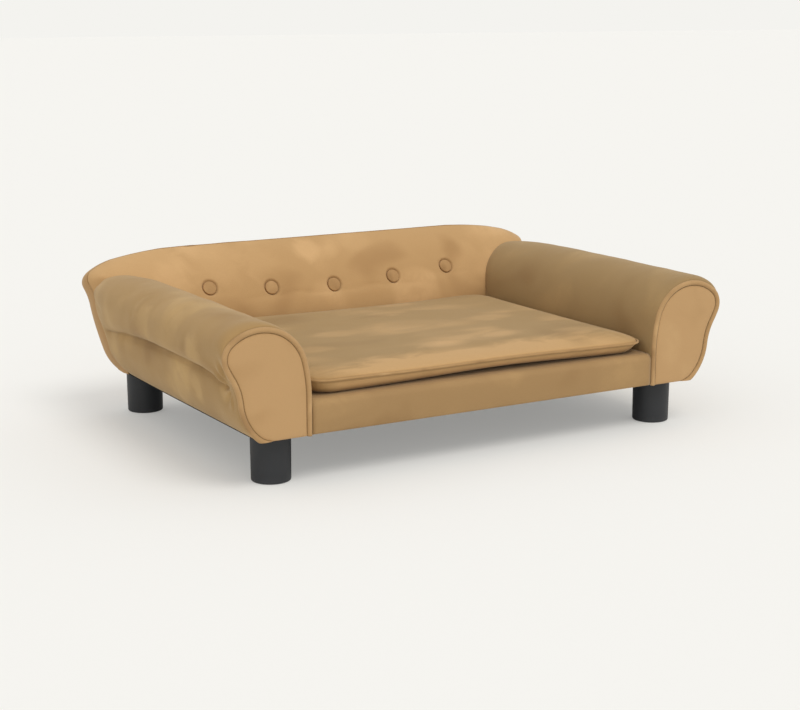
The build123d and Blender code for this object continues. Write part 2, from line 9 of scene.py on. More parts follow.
import bmesh
import bpy
from mathutils import Matrix, Vector, noise
from mathutils.kdtree import KDTree


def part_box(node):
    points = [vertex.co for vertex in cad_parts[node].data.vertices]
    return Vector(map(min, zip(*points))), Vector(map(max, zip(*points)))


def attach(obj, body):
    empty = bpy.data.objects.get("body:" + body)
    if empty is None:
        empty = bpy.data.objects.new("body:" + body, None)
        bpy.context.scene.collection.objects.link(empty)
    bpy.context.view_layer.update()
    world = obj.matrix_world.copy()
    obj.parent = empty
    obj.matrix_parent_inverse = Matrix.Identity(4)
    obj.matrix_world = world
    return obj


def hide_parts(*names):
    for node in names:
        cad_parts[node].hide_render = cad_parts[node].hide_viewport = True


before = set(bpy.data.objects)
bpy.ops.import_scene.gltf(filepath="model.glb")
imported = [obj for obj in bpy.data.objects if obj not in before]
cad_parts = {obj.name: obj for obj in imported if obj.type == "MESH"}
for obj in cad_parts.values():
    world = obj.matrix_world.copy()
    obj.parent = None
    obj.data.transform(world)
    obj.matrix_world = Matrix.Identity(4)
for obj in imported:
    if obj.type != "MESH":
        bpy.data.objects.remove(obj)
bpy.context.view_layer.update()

log = logging.getLogger("pet_sofa")
Point = tuple[float, float, float]
Flat = tuple[float, float]
Colour = tuple[float, float, float]
PHOTO_WIDTH = 800
# Name of the point attribute that holds painted shade, from 0 to 1, for the velvet to darken.
PAINTED_SHADE_ATTRIBUTE = "seam"


class Side(Enum):
    """Side of the sofa, as the sign of its X."""

    LEFT = -1
    RIGHT = 1

    @property
    def word(self) -> str:
        """Name of the side, as it starts the names of its pieces."""
        return self.name.lower()


# Small helpers of shape


def clamp(value: float, low: float = 0.0, high: float = 1.0) -> float:
    """Value kept between two limits."""
    return max(low, min(high, value))


def ease(value: float, start: float, end: float) -> float:
    """Smooth step from 0 at start to 1 at end."""
    t = clamp((value - start) / (end - start))
    return t * t * (3 - 2 * t)


def bell(distance: float, width: float) -> float:
    """Bell curve that is 1 at no distance."""
    return math.exp(-((distance / width) ** 2))


def soft_min(a: float, b: float, blend: float) -> float:
    """Lower of two values, rounded where they cross."""
    h = clamp(0.5 + 0.5 * (b - a) / blend)
    return b + (a - b) * h - blend * h * (1 - h)


def ripple(point: Point, scale: float, seed: float = 0.0) -> float:
    """Smooth noise from -1 to 1 at a place, with waves of about one over scale metres."""
    return noise.noise(Vector(point) * scale + Vector((seed, 2.7 * seed, -1.3 * seed)))


@dataclass(frozen=True)
class Spot:
    """A point of an outline with the direction that the outline takes there, in radians."""

    x: float
    z: float
    heading: float

    def grown(self, grow: float) -> Flat:
        """Point moved to the left of the run by a distance."""
        return (self.x - grow * math.sin(self.heading), self.z + grow * math.cos(self.heading))


def arc_run(start: Flat, heading: float, ends: Sequence[Flat], steps: Sequence[int]) -> list[Spot]:
    """Spots along arcs that are each tangent to the one before.

    Args:
        start: First point of the run.
        heading: Direction at the first point, in radians.
        ends: End point of each arc.
        steps: Number of steps that each arc is divided into.

    Returns:
        The spots from the start to the last end.
    """
    spots = [Spot(start[0], start[1], heading)]
    here, angle = start, heading
    for end, count in zip(ends, steps):
        dx, dz = end[0] - here[0], end[1] - here[1]
        chord = math.atan2(dz, dx)
        half = (chord - angle + math.pi) % (2 * math.pi) - math.pi
        length = math.hypot(dx, dz)
        for step in range(1, count + 1):
            share = step / count
            turned = angle + 2 * half * share
            if abs(half) < 1e-6:
                spots.append(Spot(here[0] + dx * share, here[1] + dz * share, turned))
                continue
            radius = length / (2 * math.sin(half))
            x = here[0] + radius * (math.sin(turned) - math.sin(angle))
            z = here[1] - radius * (math.cos(turned) - math.cos(angle))
            spots.append(Spot(x, z, turned))
        here, angle = end, angle + 2 * half
    return spots


def even_steps(start: Flat, ends: Sequence[Flat], pitch: float) -> list[int]:
    """Numbers of steps that divide each arc of a run at about one pitch."""
    counts, here = [], start
    for end in ends:
        counts.append(max(2, round(1.06 * math.hypot(end[0] - here[0], end[1] - here[1]) / pitch)))
        here = end
    return counts


class Mesher:
    """Makes, dresses and finishes meshes with faces that point outwards."""

    @staticmethod
    def piece(name: str, points: Sequence[Point], faces: Sequence[Sequence[int]]) -> bpy.types.Object:
        """Mesh object at the origin with smooth faces.

        Args:
            name: Name of the piece.
            points: Its vertices in metres.
            faces: Its faces as vertex numbers.

        Returns:
            The new object, linked to the scene.
        """
        mesh = bpy.data.meshes.new(name)
        mesh.from_pydata([tuple(p) for p in points], [], [tuple(f) for f in faces])
        mesh.validate()
        work = bmesh.new()
        work.from_mesh(mesh)
        bmesh.ops.remove_doubles(work, verts=work.verts, dist=1e-6)
        bmesh.ops.recalc_face_normals(work, faces=work.faces)
        for face in work.faces:
            face.smooth = True
        work.to_mesh(mesh)
        work.free()
        made = bpy.data.objects.new(name, mesh)
        bpy.context.scene.collection.objects.link(made)
        return made

    @staticmethod
    def loft(
        name: str, rings: Sequence[Sequence[Point]], closed: bool = True, capped: bool = True
    ) -> bpy.types.Object:
        """Skin through rings that have the same number of points.

        Args:
            name: Name of the piece.
            rings: The rings in order.
            closed: Whether each ring joins its own end.
            capped: Whether the first and last ring are filled.

        Returns:
            The new object.
        """
        count = len(rings[0])
        faces = Mesher.skin(len(rings), count, closed)
        if capped and closed:
            faces.append(tuple(range(count)))
            faces.append(tuple(range((len(rings) - 1) * count, len(rings) * count)))
        return Mesher.piece(name, [p for ring in rings for p in ring], faces)

    @staticmethod
    def skin(rows: int, count: int, closed: bool) -> list[Sequence[int]]:
        """Faces between rings of points, numbered ring by ring."""
        faces: list[Sequence[int]] = []
        last = count if closed else count - 1
        for row in range(rows - 1):
            for i in range(last):
                j = (i + 1) % count
                faces.append((row * count + i, row * count + j, (row + 1) * count + j, (row + 1) * count + i))
        return faces

    @staticmethod
    def tube(
        name: str, path: Sequence[Vector], radius: Callable[[int], float], sides: int, closed: bool
    ) -> bpy.types.Object:
        """Round tube along a path.

        Args:
            name: Name of the piece.
            path: Points of its centreline.
            radius: Radius at a point's number.
            sides: Number of points around.
            closed: Whether the path joins its own end.

        Returns:
            The new object.
        """
        rings = []
        total = len(path)
        normal = Vector((0, 0, 1))
        for i, place in enumerate(path):
            ahead = path[(i + 1) % total] if closed or i + 1 < total else place
            behind = path[i - 1] if closed or i else place
            along = (ahead - behind).normalized()
            if i == 0 and abs(along.z) > 0.9:
                normal = Vector((0, 1, 0))
            normal = (normal - along * normal.dot(along)).normalized()
            other = along.cross(normal)
            reach = radius(i)
            ring = []
            for step in range(sides):
                turn = 2 * math.pi * step / sides
                ring.append(tuple(place + normal * (reach * math.cos(turn)) + other * (reach * math.sin(turn))))
            rings.append(ring)
        if closed:
            rings.append(rings[0])
        return Mesher.loft(name, rings, True, not closed)

    @staticmethod
    def thicken(piece: bpy.types.Object, thickness: float, outward: Vector) -> None:
        """Gives an open panel its thickness, behind the face that is seen.

        Args:
            piece: The panel.
            thickness: Its thickness in metres.
            outward: Rough direction that its faces look in.
        """
        total = sum((p.normal * p.area for p in piece.data.polygons), Vector())
        if total.dot(outward) < 0:
            piece.data.flip_normals()
        wall = piece.modifiers.new("wall", "SOLIDIFY")
        wall.thickness = thickness
        wall.offset = -1
        Mesher.apply(piece, wall.name)

    @staticmethod
    def apply(piece: bpy.types.Object, name: str) -> None:
        """Applies one modifier."""
        bpy.ops.object.select_all(action="DESELECT")
        piece.select_set(True)
        bpy.context.view_layer.objects.active = piece
        bpy.ops.object.modifier_apply(modifier=name)

    @staticmethod
    def pick(piece: bpy.types.Object, rule: Callable[[bmesh.types.BMFace], bool]) -> None:
        """Selects, in edit mode, only the faces that a rule names."""
        bpy.ops.mesh.select_mode(type="FACE")
        bpy.ops.mesh.select_all(action="DESELECT")
        work = bmesh.from_edit_mesh(piece.data)
        for face in work.faces:
            face.select_set(rule(face))
        bmesh.update_edit_mesh(piece.data)

    @staticmethod
    def cut_below(piece: bpy.types.Object, height: float) -> None:
        """Cuts a closed piece off level at a height, and closes the cut."""
        bpy.ops.object.select_all(action="DESELECT")
        piece.select_set(True)
        bpy.context.view_layer.objects.active = piece
        bpy.ops.object.mode_set(mode="EDIT")
        bpy.ops.mesh.select_all(action="SELECT")
        bpy.ops.mesh.bisect(plane_co=(0, 0, height), plane_no=(0, 0, 1), use_fill=True, clear_inner=True)
        bpy.ops.object.mode_set(mode="OBJECT")

    @staticmethod
    def refine(piece: bpy.types.Object) -> None:
        """Adds one level of subdivision and applies it."""
        finer = piece.modifiers.new("finer", "SUBSURF")
        finer.levels = 1
        finer.render_levels = 1
        Mesher.apply(piece, finer.name)
        for face in piece.data.polygons:
            face.use_smooth = True

    @staticmethod
    def bend(piece: bpy.types.Object, move: Callable[[Vector, Vector], Vector]) -> None:
        """Moves each vertex to the place that a rule gives.

        Args:
            piece: The mesh to change.
            move: Rule from a vertex's place and normal to its new place.
        """
        normals = [v.normal.copy() for v in piece.data.vertices]
        for vertex, normal in zip(piece.data.vertices, normals):
            vertex.co = move(vertex.co.copy(), normal)
        piece.data.update()

    @staticmethod
    def mark(piece: bpy.types.Object, rule: Callable[[Vector], float]) -> None:
        """Stores painted shade, from 0 to 1, by how deep in a seam or fold each point lies, for the velvet to darken.
        """
        depths = [clamp(rule(vertex.co)) for vertex in piece.data.vertices]
        piece.data.attributes.new(PAINTED_SHADE_ATTRIBUTE, "FLOAT", "POINT").data.foreach_set("value", depths)

    @staticmethod
    def twin(piece: bpy.types.Object, name: str) -> bpy.types.Object:
        """Mirror image of a piece across the middle of the sofa, with its own mesh."""
        mesh = piece.data.copy()
        mesh.name = name
        mesh.transform(Matrix.Diagonal((-1, 1, 1, 1)))
        mesh.flip_normals()
        made = bpy.data.objects.new(name, mesh)
        bpy.context.scene.collection.objects.link(made)
        return made


@dataclass(frozen=True)
class Inflation:
    """Cloth simulation that swells a padded piece against its held seams."""

    pressure: float = 4.0
    frames: int = 20
    cap: float = 0.004
    tension: float = 15.0
    bending: float = 0.5

    def swell(self, piece: bpy.types.Object, held: Callable[[Vector], bool]) -> None:
        """Runs the simulation, and keeps its result within the cap.

        Args:
            piece: The closed form to swell.
            held: Rule that says which points the seams and boards hold.
        """
        rest = [v.co.copy() for v in piece.data.vertices]
        group = piece.vertex_groups.new(name="held")
        group.add([i for i, co in enumerate(rest) if held(co)], 1.0, "REPLACE")
        cloth = piece.modifiers.new("cloth", "CLOTH")
        cloth.settings.quality = 5
        cloth.settings.mass = 0.3
        cloth.settings.tension_stiffness = self.tension
        cloth.settings.compression_stiffness = self.tension
        cloth.settings.shear_stiffness = 5
        cloth.settings.bending_stiffness = self.bending
        cloth.settings.use_pressure = True
        cloth.settings.uniform_pressure_force = self.pressure
        cloth.settings.vertex_group_mass = group.name
        cloth.settings.effector_weights.gravity = 0
        cloth.collision_settings.use_collision = False
        cloth.collision_settings.use_self_collision = False
        cloth.point_cache.frame_start = 1
        cloth.point_cache.frame_end = self.frames
        for step in range(1, self.frames + 1):
            bpy.context.scene.frame_set(step)
        seen = piece.evaluated_get(bpy.context.evaluated_depsgraph_get())
        moved = [v.co.copy() for v in seen.data.vertices]
        piece.modifiers.remove(cloth)
        bpy.context.scene.frame_set(1)
        for vertex, old, new in zip(piece.data.vertices, rest, moved):
            step_made = new - old
            length = step_made.length
            if length > 1e-9:
                step_made *= self.cap * math.tanh(length / self.cap) / length
            vertex.co = old + step_made
        piece.data.update()


# Shader maths and finishes


class Socket:
    """A value or colour of a material, written in sums as a number is."""

    def __init__(self, paint: "Paint", link: bpy.types.NodeSocket) -> None:
        """Keeps the socket that gives the value, and the material it belongs to."""
        self.paint = paint
        self.link = link

    def __add__(self, other: "Value") -> "Socket":
        """Sum."""
        return self.paint.maths("ADD", self, other)

    __radd__ = __add__

    def __sub__(self, other: "Value") -> "Socket":
        """Difference."""
        return self.paint.maths("SUBTRACT", self, other)

    def __rsub__(self, other: "Value") -> "Socket":
        """Difference from a number."""
        return self.paint.maths("SUBTRACT", other, self)

    def __mul__(self, other: "Value") -> "Socket":
        """Product."""
        return self.paint.maths("MULTIPLY", self, other)

    __rmul__ = __mul__

    def __truediv__(self, other: "Value") -> "Socket":
        """Quotient."""
        return self.paint.maths("DIVIDE", self, other)

    def step(self, low: float, high: float) -> "Socket":
        """Smooth step from 0 at low to 1 at high."""
        settings = {"interpolation_type": "SMOOTHSTEP"}
        values = {"Value": self, "From Min": low, "From Max": high}
        return self.paint.node("ShaderNodeMapRange", settings, values, "Result")


Value = Union[Socket, float]


class Paint:
    """A material and its nodes."""

    def __init__(self, name: str) -> None:
        """Starts an empty material with a principled shader."""
        self.material = bpy.data.materials.new(name)
        self.material.use_nodes = True
        self.tree = self.material.node_tree
        self.tree.nodes.clear()
        self.shader = self.tree.nodes.new("ShaderNodeBsdfPrincipled")
        self.output = self.tree.nodes.new("ShaderNodeOutputMaterial")
        self.tree.links.new(self.shader.outputs["BSDF"], self.output.inputs["Surface"])

    def node(self, kind: str, settings: dict, values: dict, result: Union[str, int] = 0) -> Socket:
        """Any node, set up and fed.

        Args:
            kind: The node's type.
            settings: Its own settings.
            values: Numbers, colours or sockets for its inputs, by name or number.
            result: The output that is wanted.

        Returns:
            That output.
        """
        made = self.tree.nodes.new(kind)
        for key, value in settings.items():
            setattr(made, key, value)
        for key, value in values.items():
            self.feed(made.inputs[key], value)
        return Socket(self, made.outputs[result])

    def feed(self, target: bpy.types.NodeSocket, value: Union[Value, Colour]) -> None:
        """Links a socket to an input, or sets the input to a constant."""
        if isinstance(value, Socket):
            self.tree.links.new(value.link, target)
        elif isinstance(value, tuple) and target.type == "RGBA":
            target.default_value = (*value, 1)
        else:
            target.default_value = value

    def maths(self, operation: str, *values: Value) -> Socket:
        """Math node on values."""
        return self.node("ShaderNodeMath", {"operation": operation}, dict(enumerate(values)))

    def place(self, turn: Point = (0.0, 0.0, 0.0), scale: Point = (1.0, 1.0, 1.0)) -> Socket:
        """Place on the object, turned and stretched."""
        here = self.node("ShaderNodeTexCoord", {}, {}, "Object")
        return self.node("ShaderNodeMapping", {}, {"Vector": here, "Rotation": turn, "Scale": scale})

    def grain(
        self, place: Socket, scale: float, detail: float = 2.0, rough: float = 0.5, twist: float = 0.0
    ) -> Socket:
        """Cloudy noise from 0 to 1."""
        values = {"Vector": place, "Scale": scale, "Detail": detail, "Roughness": rough, "Distortion": twist}
        return self.node("ShaderNodeTexNoise", {}, values, "Fac")

    def axis(self, place: Socket, name: str) -> Socket:
        """One coordinate of a place."""
        return self.node("ShaderNodeSeparateXYZ", {}, {"Vector": place}, name)

    def blend(self, share: Value, a: Union[Socket, Colour], b: Union[Socket, Colour]) -> Socket:
        """Colour between two colours."""
        settings = {"data_type": "RGBA", "clamp_factor": True}
        return self.node("ShaderNodeMix", settings, {0: share, 6: a, 7: b}, 2)

    def bump(self, height: Socket, strength: float, distance: float) -> Socket:
        """Surface relief from a height."""
        values = {"Height": height, "Strength": strength, "Distance": distance}
        return self.node("ShaderNodeBump", {}, values, "Normal")

    def set(self, **values: Union[Value, Colour]) -> "Paint":
        """Feeds inputs of the shader, with their names' spaces written as underscores."""
        for name, value in values.items():
            self.feed(self.shader.inputs[name.replace("_", " ")], value)
        return self

    def dress(self, piece: bpy.types.Object) -> bpy.types.Object:
        """Makes this the only material of a piece."""
        piece.data.materials.clear()
        piece.data.materials.append(self.material)
        return piece


def from_srgb(red: float, green: float, blue: float) -> Colour:
    """Linear colour of 8-bit display values."""
    parts = []
    for value in (red / 255, green / 255, blue / 255):
        parts.append(value / 12.92 if value <= 0.04045 else ((value + 0.055) / 1.055) ** 2.4)
    return (parts[0], parts[1], parts[2])


@dataclass(frozen=True)
class Nap:
    """A painted highlight: a place where the velvet is painted lighter, where light falls brighter on the pile."""

    place: Point
    reach: float
    gain: float = 0.6


@dataclass(frozen=True)
class Velvet:
    """Short-pile velvet with cloudy brushed patches, painted highlights and painted shade, as one piece of the sofa
    wears it; each piece's copy has tones set lighter or darker to paint the light and shade on it.
    """

    name: str
    base: Colour = from_srgb(176, 142, 98)
    light: Colour = from_srgb(200, 164, 116)
    deep: Colour = from_srgb(150, 116, 76)
    patch: float = 9.0
    seed: float = 0.0
    naps: tuple[Nap, ...] = ()
    draw: Point = (1.0, 1.0, 1.0)

    def paint(self) -> Paint:
        """Makes the material."""
        paint = Paint(self.name)
        place = paint.place()
        drawn = paint.place(scale=self.draw)
        shift = (self.seed, -self.seed, 2 * self.seed)
        moved = paint.node("ShaderNodeMapping", {}, {"Vector": drawn, "Location": shift})
        broad = paint.grain(moved, self.patch, 1.5, 0.45, 0.4)
        brushed = paint.grain(moved, 2.6 * self.patch, 3.0, 0.6, 0.8)
        pile = paint.grain(place, 2600.0, 2.0, 0.6)
        lint = paint.grain(place, 420.0, 2.0, 0.5)
        lit = broad.step(0.52, 0.72) * (brushed.step(0.35, 0.65) * 0.5 + 0.5)
        # Painted highlights: each given patch lightens the velvet towards its light tone.
        for highlight in self.naps:
            middle = tuple(a * b for a, b in zip(highlight.place, self.draw))
            away = paint.node("ShaderNodeVectorMath", {"operation": "DISTANCE"}, {0: drawn, 1: middle}, "Value")
            ragged = away + (brushed - 0.5) * (1.1 * highlight.reach)
            lit = lit + (1 - ragged.step(0.35 * highlight.reach, highlight.reach)) * highlight.gain
        dark = (1 - broad).step(0.55, 0.75) * 0.6
        tone = paint.blend(lit * 0.75, self.base, self.light)
        tone = paint.blend(dark, tone, self.deep)
        tone = paint.blend((lint - 0.5) * 0.22 + 0.11, tone, self.deep)
        # Painted shade: the stored attribute darkens the velvet towards a deep shadow tone in seams, creases, round
        # the buttons and under the cushion's edge.
        seam = paint.node("ShaderNodeAttribute", {"attribute_name": PAINTED_SHADE_ATTRIBUTE}, {}, "Fac")
        shadow = (0.36 * self.deep[0], 0.34 * self.deep[1], 0.32 * self.deep[2])
        tone = paint.blend(seam * 0.8, tone, shadow)
        relief = pile * 0.5 + lint
        paint.set(Base_Color=tone, Roughness=0.78 + 0.16 * brushed, Normal=paint.bump(relief, 0.35, 0.0006))
        paint.set(Sheen_Weight=0.32, Sheen_Roughness=0.42, Sheen_Tint=(0.92, 0.78, 0.58), Specular_IOR_Level=0.18)
        return paint


@dataclass(frozen=True)
class Timber:
    """Planed pine or plywood, with its grain along one axis."""

    name: str
    pale: Colour
    dark: Colour
    along: str = "X"
    layers: bool = False

    def paint(self) -> Paint:
        """Makes the material."""
        paint = Paint(self.name)
        scales = {"X": (1.0, 14.0, 14.0), "Y": (14.0, 1.0, 14.0), "Z": (14.0, 14.0, 1.0)}
        place = paint.place(scale=scales[self.along])
        rings = paint.grain(place, 9.0, 3.0, 0.55, 1.2)
        fibre = paint.grain(place, 70.0, 2.0, 0.6)
        mark = rings.step(0.42, 0.62) * 0.6 + fibre * 0.35
        if self.layers:
            height = paint.axis(paint.place(), "Z")
            ply = paint.maths("PINGPONG", height * 1000, 1.4) / 1.4
            mark = mark * 0.6 + ply * 0.35
        tone = paint.blend(mark, self.pale, self.dark)
        paint.set(Base_Color=tone, Roughness=0.55 + 0.25 * fibre, Normal=paint.bump(fibre, 0.3, 0.0005))
        return paint


@dataclass(frozen=True)
class Satin:
    """Charcoal satin finish of the turned feet."""

    name: str = "foot_charcoal"
    tone: Colour = from_srgb(37, 39, 42)
    worn: Colour = from_srgb(56, 57, 59)

    def paint(self) -> Paint:
        """Makes the material."""
        paint = Paint(self.name)
        place = paint.place()
        cloud = paint.grain(place, 55.0, 3.0, 0.5)
        fleck = paint.grain(place, 900.0, 2.0, 0.6)
        # Lighter towards the bottom of each foot and in cloudy patches.
        low = 1 - paint.axis(place, "Z").step(0.002, 0.012)
        tone = paint.blend(cloud * 0.35 + low * 0.35, self.tone, self.worn)
        paint.set(Base_Color=tone, Roughness=0.42 + 0.2 * cloud, Normal=paint.bump(fleck, 0.25, 0.0002))
        paint.set(Specular_IOR_Level=0.4)
        return paint


@dataclass(frozen=True)
class Metal:
    """Plated steel of screws, studs, staples and the zip."""

    name: str
    tone: Colour
    tarnish: Colour
    rough: float = 0.3

    def paint(self) -> Paint:
        """Makes the material."""
        paint = Paint(self.name)
        place = paint.place()
        cloud = paint.grain(place, 320.0, 3.0, 0.6)
        brushed = paint.grain(paint.place(scale=(1.0, 1.0, 9.0)), 900.0, 2.0, 0.6)
        paint.set(Base_Color=paint.blend(cloud.step(0.4, 0.75), self.tone, self.tarnish), Metallic=1.0)
        paint.set(Roughness=self.rough + 0.25 * cloud, Normal=paint.bump(brushed, 0.2, 0.0001))
        return paint


@dataclass(frozen=True)
class Woven:
    """Plain cloth with crossed threads: the dust cloth, the zip's tape, felt and twine."""

    name: str
    tone: Colour
    thread: Colour
    count: float = 1400.0
    rough: float = 0.9

    def paint(self) -> Paint:
        """Makes the material."""
        paint = Paint(self.name)
        place = paint.place()
        across = paint.maths("SINE", paint.axis(place, "X") * self.count)
        down = paint.maths("SINE", paint.axis(place, "Y") * self.count + paint.axis(place, "Z") * self.count)
        weave = across * down * 0.5 + 0.5
        fuzz = paint.grain(place, 500.0, 3.0, 0.6)
        cloud = paint.grain(place, 18.0, 2.0, 0.5)
        tone = paint.blend(weave * 0.5 + fuzz * 0.3 + cloud * 0.2, self.tone, self.thread)
        paint.set(Base_Color=tone, Roughness=self.rough - 0.1 * fuzz, Normal=paint.bump(weave + fuzz, 0.4, 0.0003))
        return paint


# The sofa's shapes


@dataclass(frozen=True)
class Backrest:
    """Sizes that the back shares with the arms, and its own pieces."""

    half: float = 0.4448
    tall: float = 0.21384
    foot_y: float = 0.209
    floor: float = 0.073
    height: float = 0.201
    reach: float = 0.073
    seat_top: float = 0.119
    front: float = 0.196
    arc: float = 0.1827
    rear_foot: float = 0.279
    rear_slope: float = 0.135
    share: tuple[Flat, ...] = (
        (0.605, 1.0),
        (0.883, 0.942),
        (0.981, 0.859),
        (0.996, 0.752),
        (0.979, 0.611),
        (0.9465, 0.248),
        (0.897, 0.086),
    )
    buttons: tuple[Flat, ...] = ((-0.540, 0.669), (-0.278, 0.626), (0.0, 0.603), (0.278, 0.626), (0.540, 0.669))
    button_radius: float = 0.0122
    pitch: float = 0.004
    # x, height, reach and gain of each painted highlight on the pad, in metres.
    brushed: tuple[tuple[float, float, float, float], ...] = (
        (-0.033, 0.256, 0.034, 0.75),
        (-0.345, 0.258, 0.110, 0.45),
        (-0.225, 0.250, 0.080, 0.35),
        (0.074, 0.260, 0.040, 0.35),
        (-0.134, 0.240, 0.050, 0.25),
        (0.285, 0.205, 0.060, 0.25),
    )

    def half_at(self, z: float) -> float:
        """Half width of the outline at a height, below its widest point's top."""
        s = (z - self.floor) * self.tall / self.height
        spots = self.run()
        for above, below in zip(spots, spots[1:]):
            if above.z >= s > below.z and below.z < 0.9 * self.tall:
                share = (above.z - s) / (above.z - below.z)
                return above.x + (below.x - above.x) * share
        return self.half if s > 0.5 * self.tall else spots[-1].x

    def seam_y(self, z: float) -> float:
        """Place of the seam's plane at a height."""
        return self.foot_y + (z - self.floor) * self.reach / self.height

    def pad_y(self, z: float) -> float:
        """Place of the front pad's middle at a height."""
        rise = clamp(z - self.seat_top, 0.0, 0.99 * self.arc)
        return self.front + self.arc - math.sqrt(self.arc**2 - rise**2)

    def rear_y(self, z: float) -> float:
        """Place of the rear face at a height."""
        return self.rear_foot + self.rear_slope * (z - self.floor)

    def on_seam(self, x: float, s: float, depth: float = 0.0) -> Vector:
        """Point in front of the seam's plane, from its place across and up the plane."""
        lean = math.atan2(self.reach, self.height)
        y = self.foot_y + s * math.sin(lean) - depth * math.cos(lean)
        z = self.floor + s * math.cos(lean) + depth * math.sin(lean)
        return Vector((x, y, z))

    def run(self) -> list[Spot]:
        """Right half of the outline on the seam's plane, from the end of its straight top to its foot."""
        ends = [(x * self.half, z * self.tall) for x, z in self.share]
        steps = even_steps(ends[0], ends[1:], self.pitch)
        spots = arc_run(ends[0], 0.0, ends[1:], steps)
        foot = spots[-1]
        for step in range(1, 5):
            spots.append(Spot(foot.x, foot.z * (1 - step / 4), -math.pi / 2))
        return spots

    def edge_tree(self) -> KDTree:
        """Search tree of close points on the outline, both halves."""
        ends = [(x * self.half, z * self.tall) for x, z in self.share]
        steps = [round(20 * n) for n in even_steps(ends[0], ends[1:], 0.01)]
        spots = arc_run(ends[0], 0.0, ends[1:], steps)
        places = [(s.x, s.z) for s in spots] + [(-s.x, s.z) for s in spots]
        places += [(x * 0.002, self.tall) for x in range(-134, 135)]
        places += [(side * spots[-1].x, spots[-1].z * k / 20) for side in (-1, 1) for k in range(20)]
        tree = KDTree(len(places))
        for number, (x, z) in enumerate(places):
            tree.insert((x, z, 0), number)
        tree.balance()
        return tree

    def swell(self, x: float, s: float, edge: float) -> float:
        """Depth of the pad in front of the seam's plane.

        Args:
            x: Place across; not used.
            s: Place up the plane.
            edge: Distance to the seam.

        Returns:
            The depth, square to the plane.
        """
        lean = math.atan2(self.reach, self.height)
        z = self.floor + s * math.cos(lean)
        depth = 0.0
        for _ in range(4):
            depth = (self.seam_y(z) - self.pad_y(z)) * math.cos(lean)
            z = self.floor + s * math.cos(lean) + depth * math.sin(lean)
        rim = 1.25 * edge + 0.003 * (1 - math.exp(-edge / 0.002))
        return max(0.0, soft_min(max(depth, 0.0) + 0.001, rim, 0.008))

    def button_places(self) -> list[tuple[Vector, Vector]]:
        """Place and outward direction of each button on the pad."""
        found = []
        for x_share, z_share in self.buttons:
            z = self.floor + z_share * self.height
            tilt = (z - self.seat_top) / self.arc
            outward = Vector((0, -math.sqrt(1 - tilt**2), tilt))
            found.append((Vector((x_share * self.half, self.pad_y(z), z)), outward))
        return found

    def front_panel(self, columns: int = 220) -> bpy.types.Object:
        """Bulging front pad, closed behind along the seam's plane."""
        tree = self.edge_tree()
        low = (self.seat_top - self.floor - 0.004) / self.height * self.tall
        rows = [s for s in self.run() if s.z > low]
        rows.append(Spot(rows[-1].x, low, rows[-1].heading))
        points: list[Point] = []
        count = columns + 1
        for row in rows:
            for i in range(count):
                x = row.x * (2 * i / columns - 1)
                edge = tree.find((x, row.z, 0))[2]
                depth = self.swell(x, row.z, max(0.0, edge - 0.0006))
                points.append(tuple(self.on_seam(x, row.z, depth)))
        front = len(points)
        for row in rows:
            for i in range(count):
                x = row.x * (2 * i / columns - 1)
                edge = tree.find((x, row.z, 0))[2]
                inset = 0.0 if edge < 1e-4 else -0.003
                points.append(tuple(self.on_seam(x, row.z, inset)))
        faces: list[Sequence[int]] = []
        for r in range(len(rows) - 1):
            for i in range(columns):
                a = r * count + i
                faces.append((a, a + 1, a + count + 1, a + count))
                faces.append((front + a, front + a + count, front + a + count + 1, front + a + 1))
        last = (len(rows) - 1) * count
        for i in range(columns):
            faces.append((last + i, last + i + 1, front + last + i + 1, front + last + i))
            faces.append((i + 1, i, front + i, front + i + 1))
        for r in range(len(rows) - 1):
            a, b = r * count, (r + 1) * count
            faces.append((a, b, front + b, front + a))
            faces.append((b + columns, a + columns, front + a + columns, front + b + columns))
        return Mesher.piece("back_front_pad", points, faces)

    def tuft(self, panel: bpy.types.Object) -> None:
        """Draws the pad in at each button, with soft pulls between them."""
        places = self.button_places()

        def drawn(co: Vector, normal: Vector) -> Vector:
            """Place of a point after the buttons pull it in."""
            if normal.y > 0.2:
                return co
            sink = 0.0
            for place, outward in places:
                gap = co - place
                off = (gap - outward * gap.dot(outward)).length
                if off < 0.06:
                    sink = max(sink, 0.0050 * (1 - ease(off, 0.0118, 0.0158)))
                    sink += 0.0009 * bell(off, 0.028)
            pull = 0.0009 * ripple(tuple(co), 14.0, 3.0) + 0.0004 * ripple(tuple(co), 38.0, 5.0)
            return co + normal * (pull - sink)

        Mesher.bend(panel, drawn)

    def border_band(self) -> bpy.types.Object:
        """Strip round the back, from its front seam to the rounded rear edge."""
        half = self.run()
        top = [Spot(half[0].x * (1 - 2 * i / 130), self.tall, math.pi) for i in range(1, 130)]
        left = [Spot(-s.x, s.z, math.pi - s.heading) for s in half]
        loop = left[::-1] + top[::-1] + half
        rings = []
        for number, spot in enumerate(loop):
            outward = self.outward_of(loop, number)
            rings.append([tuple(p) for p in self.band_across(spot, outward)])
        piece = Mesher.loft("back_border_band", rings, closed=False, capped=False)
        Mesher.thicken(piece, 0.0015, Vector((0, 0, 1)))
        return piece

    def outward_of(self, loop: Sequence[Spot], number: int) -> Vector:
        """Direction out of the outline at one of its spots, on the seam's plane."""
        before, after = loop[max(0, number - 1)], loop[min(len(loop) - 1, number + 1)]
        along = Vector((after.x - before.x, after.z - before.z))
        along.normalize()
        lean = math.atan2(self.reach, self.height)
        return Vector((-along.y, along.x * math.sin(lean), along.x * math.cos(lean)))

    def round_of(self, s: float) -> float:
        """Radius of the rear corner at a height up the plane."""
        return 0.026 - 0.018 * ease(s, 0.3 * self.tall, 0.85 * self.tall)

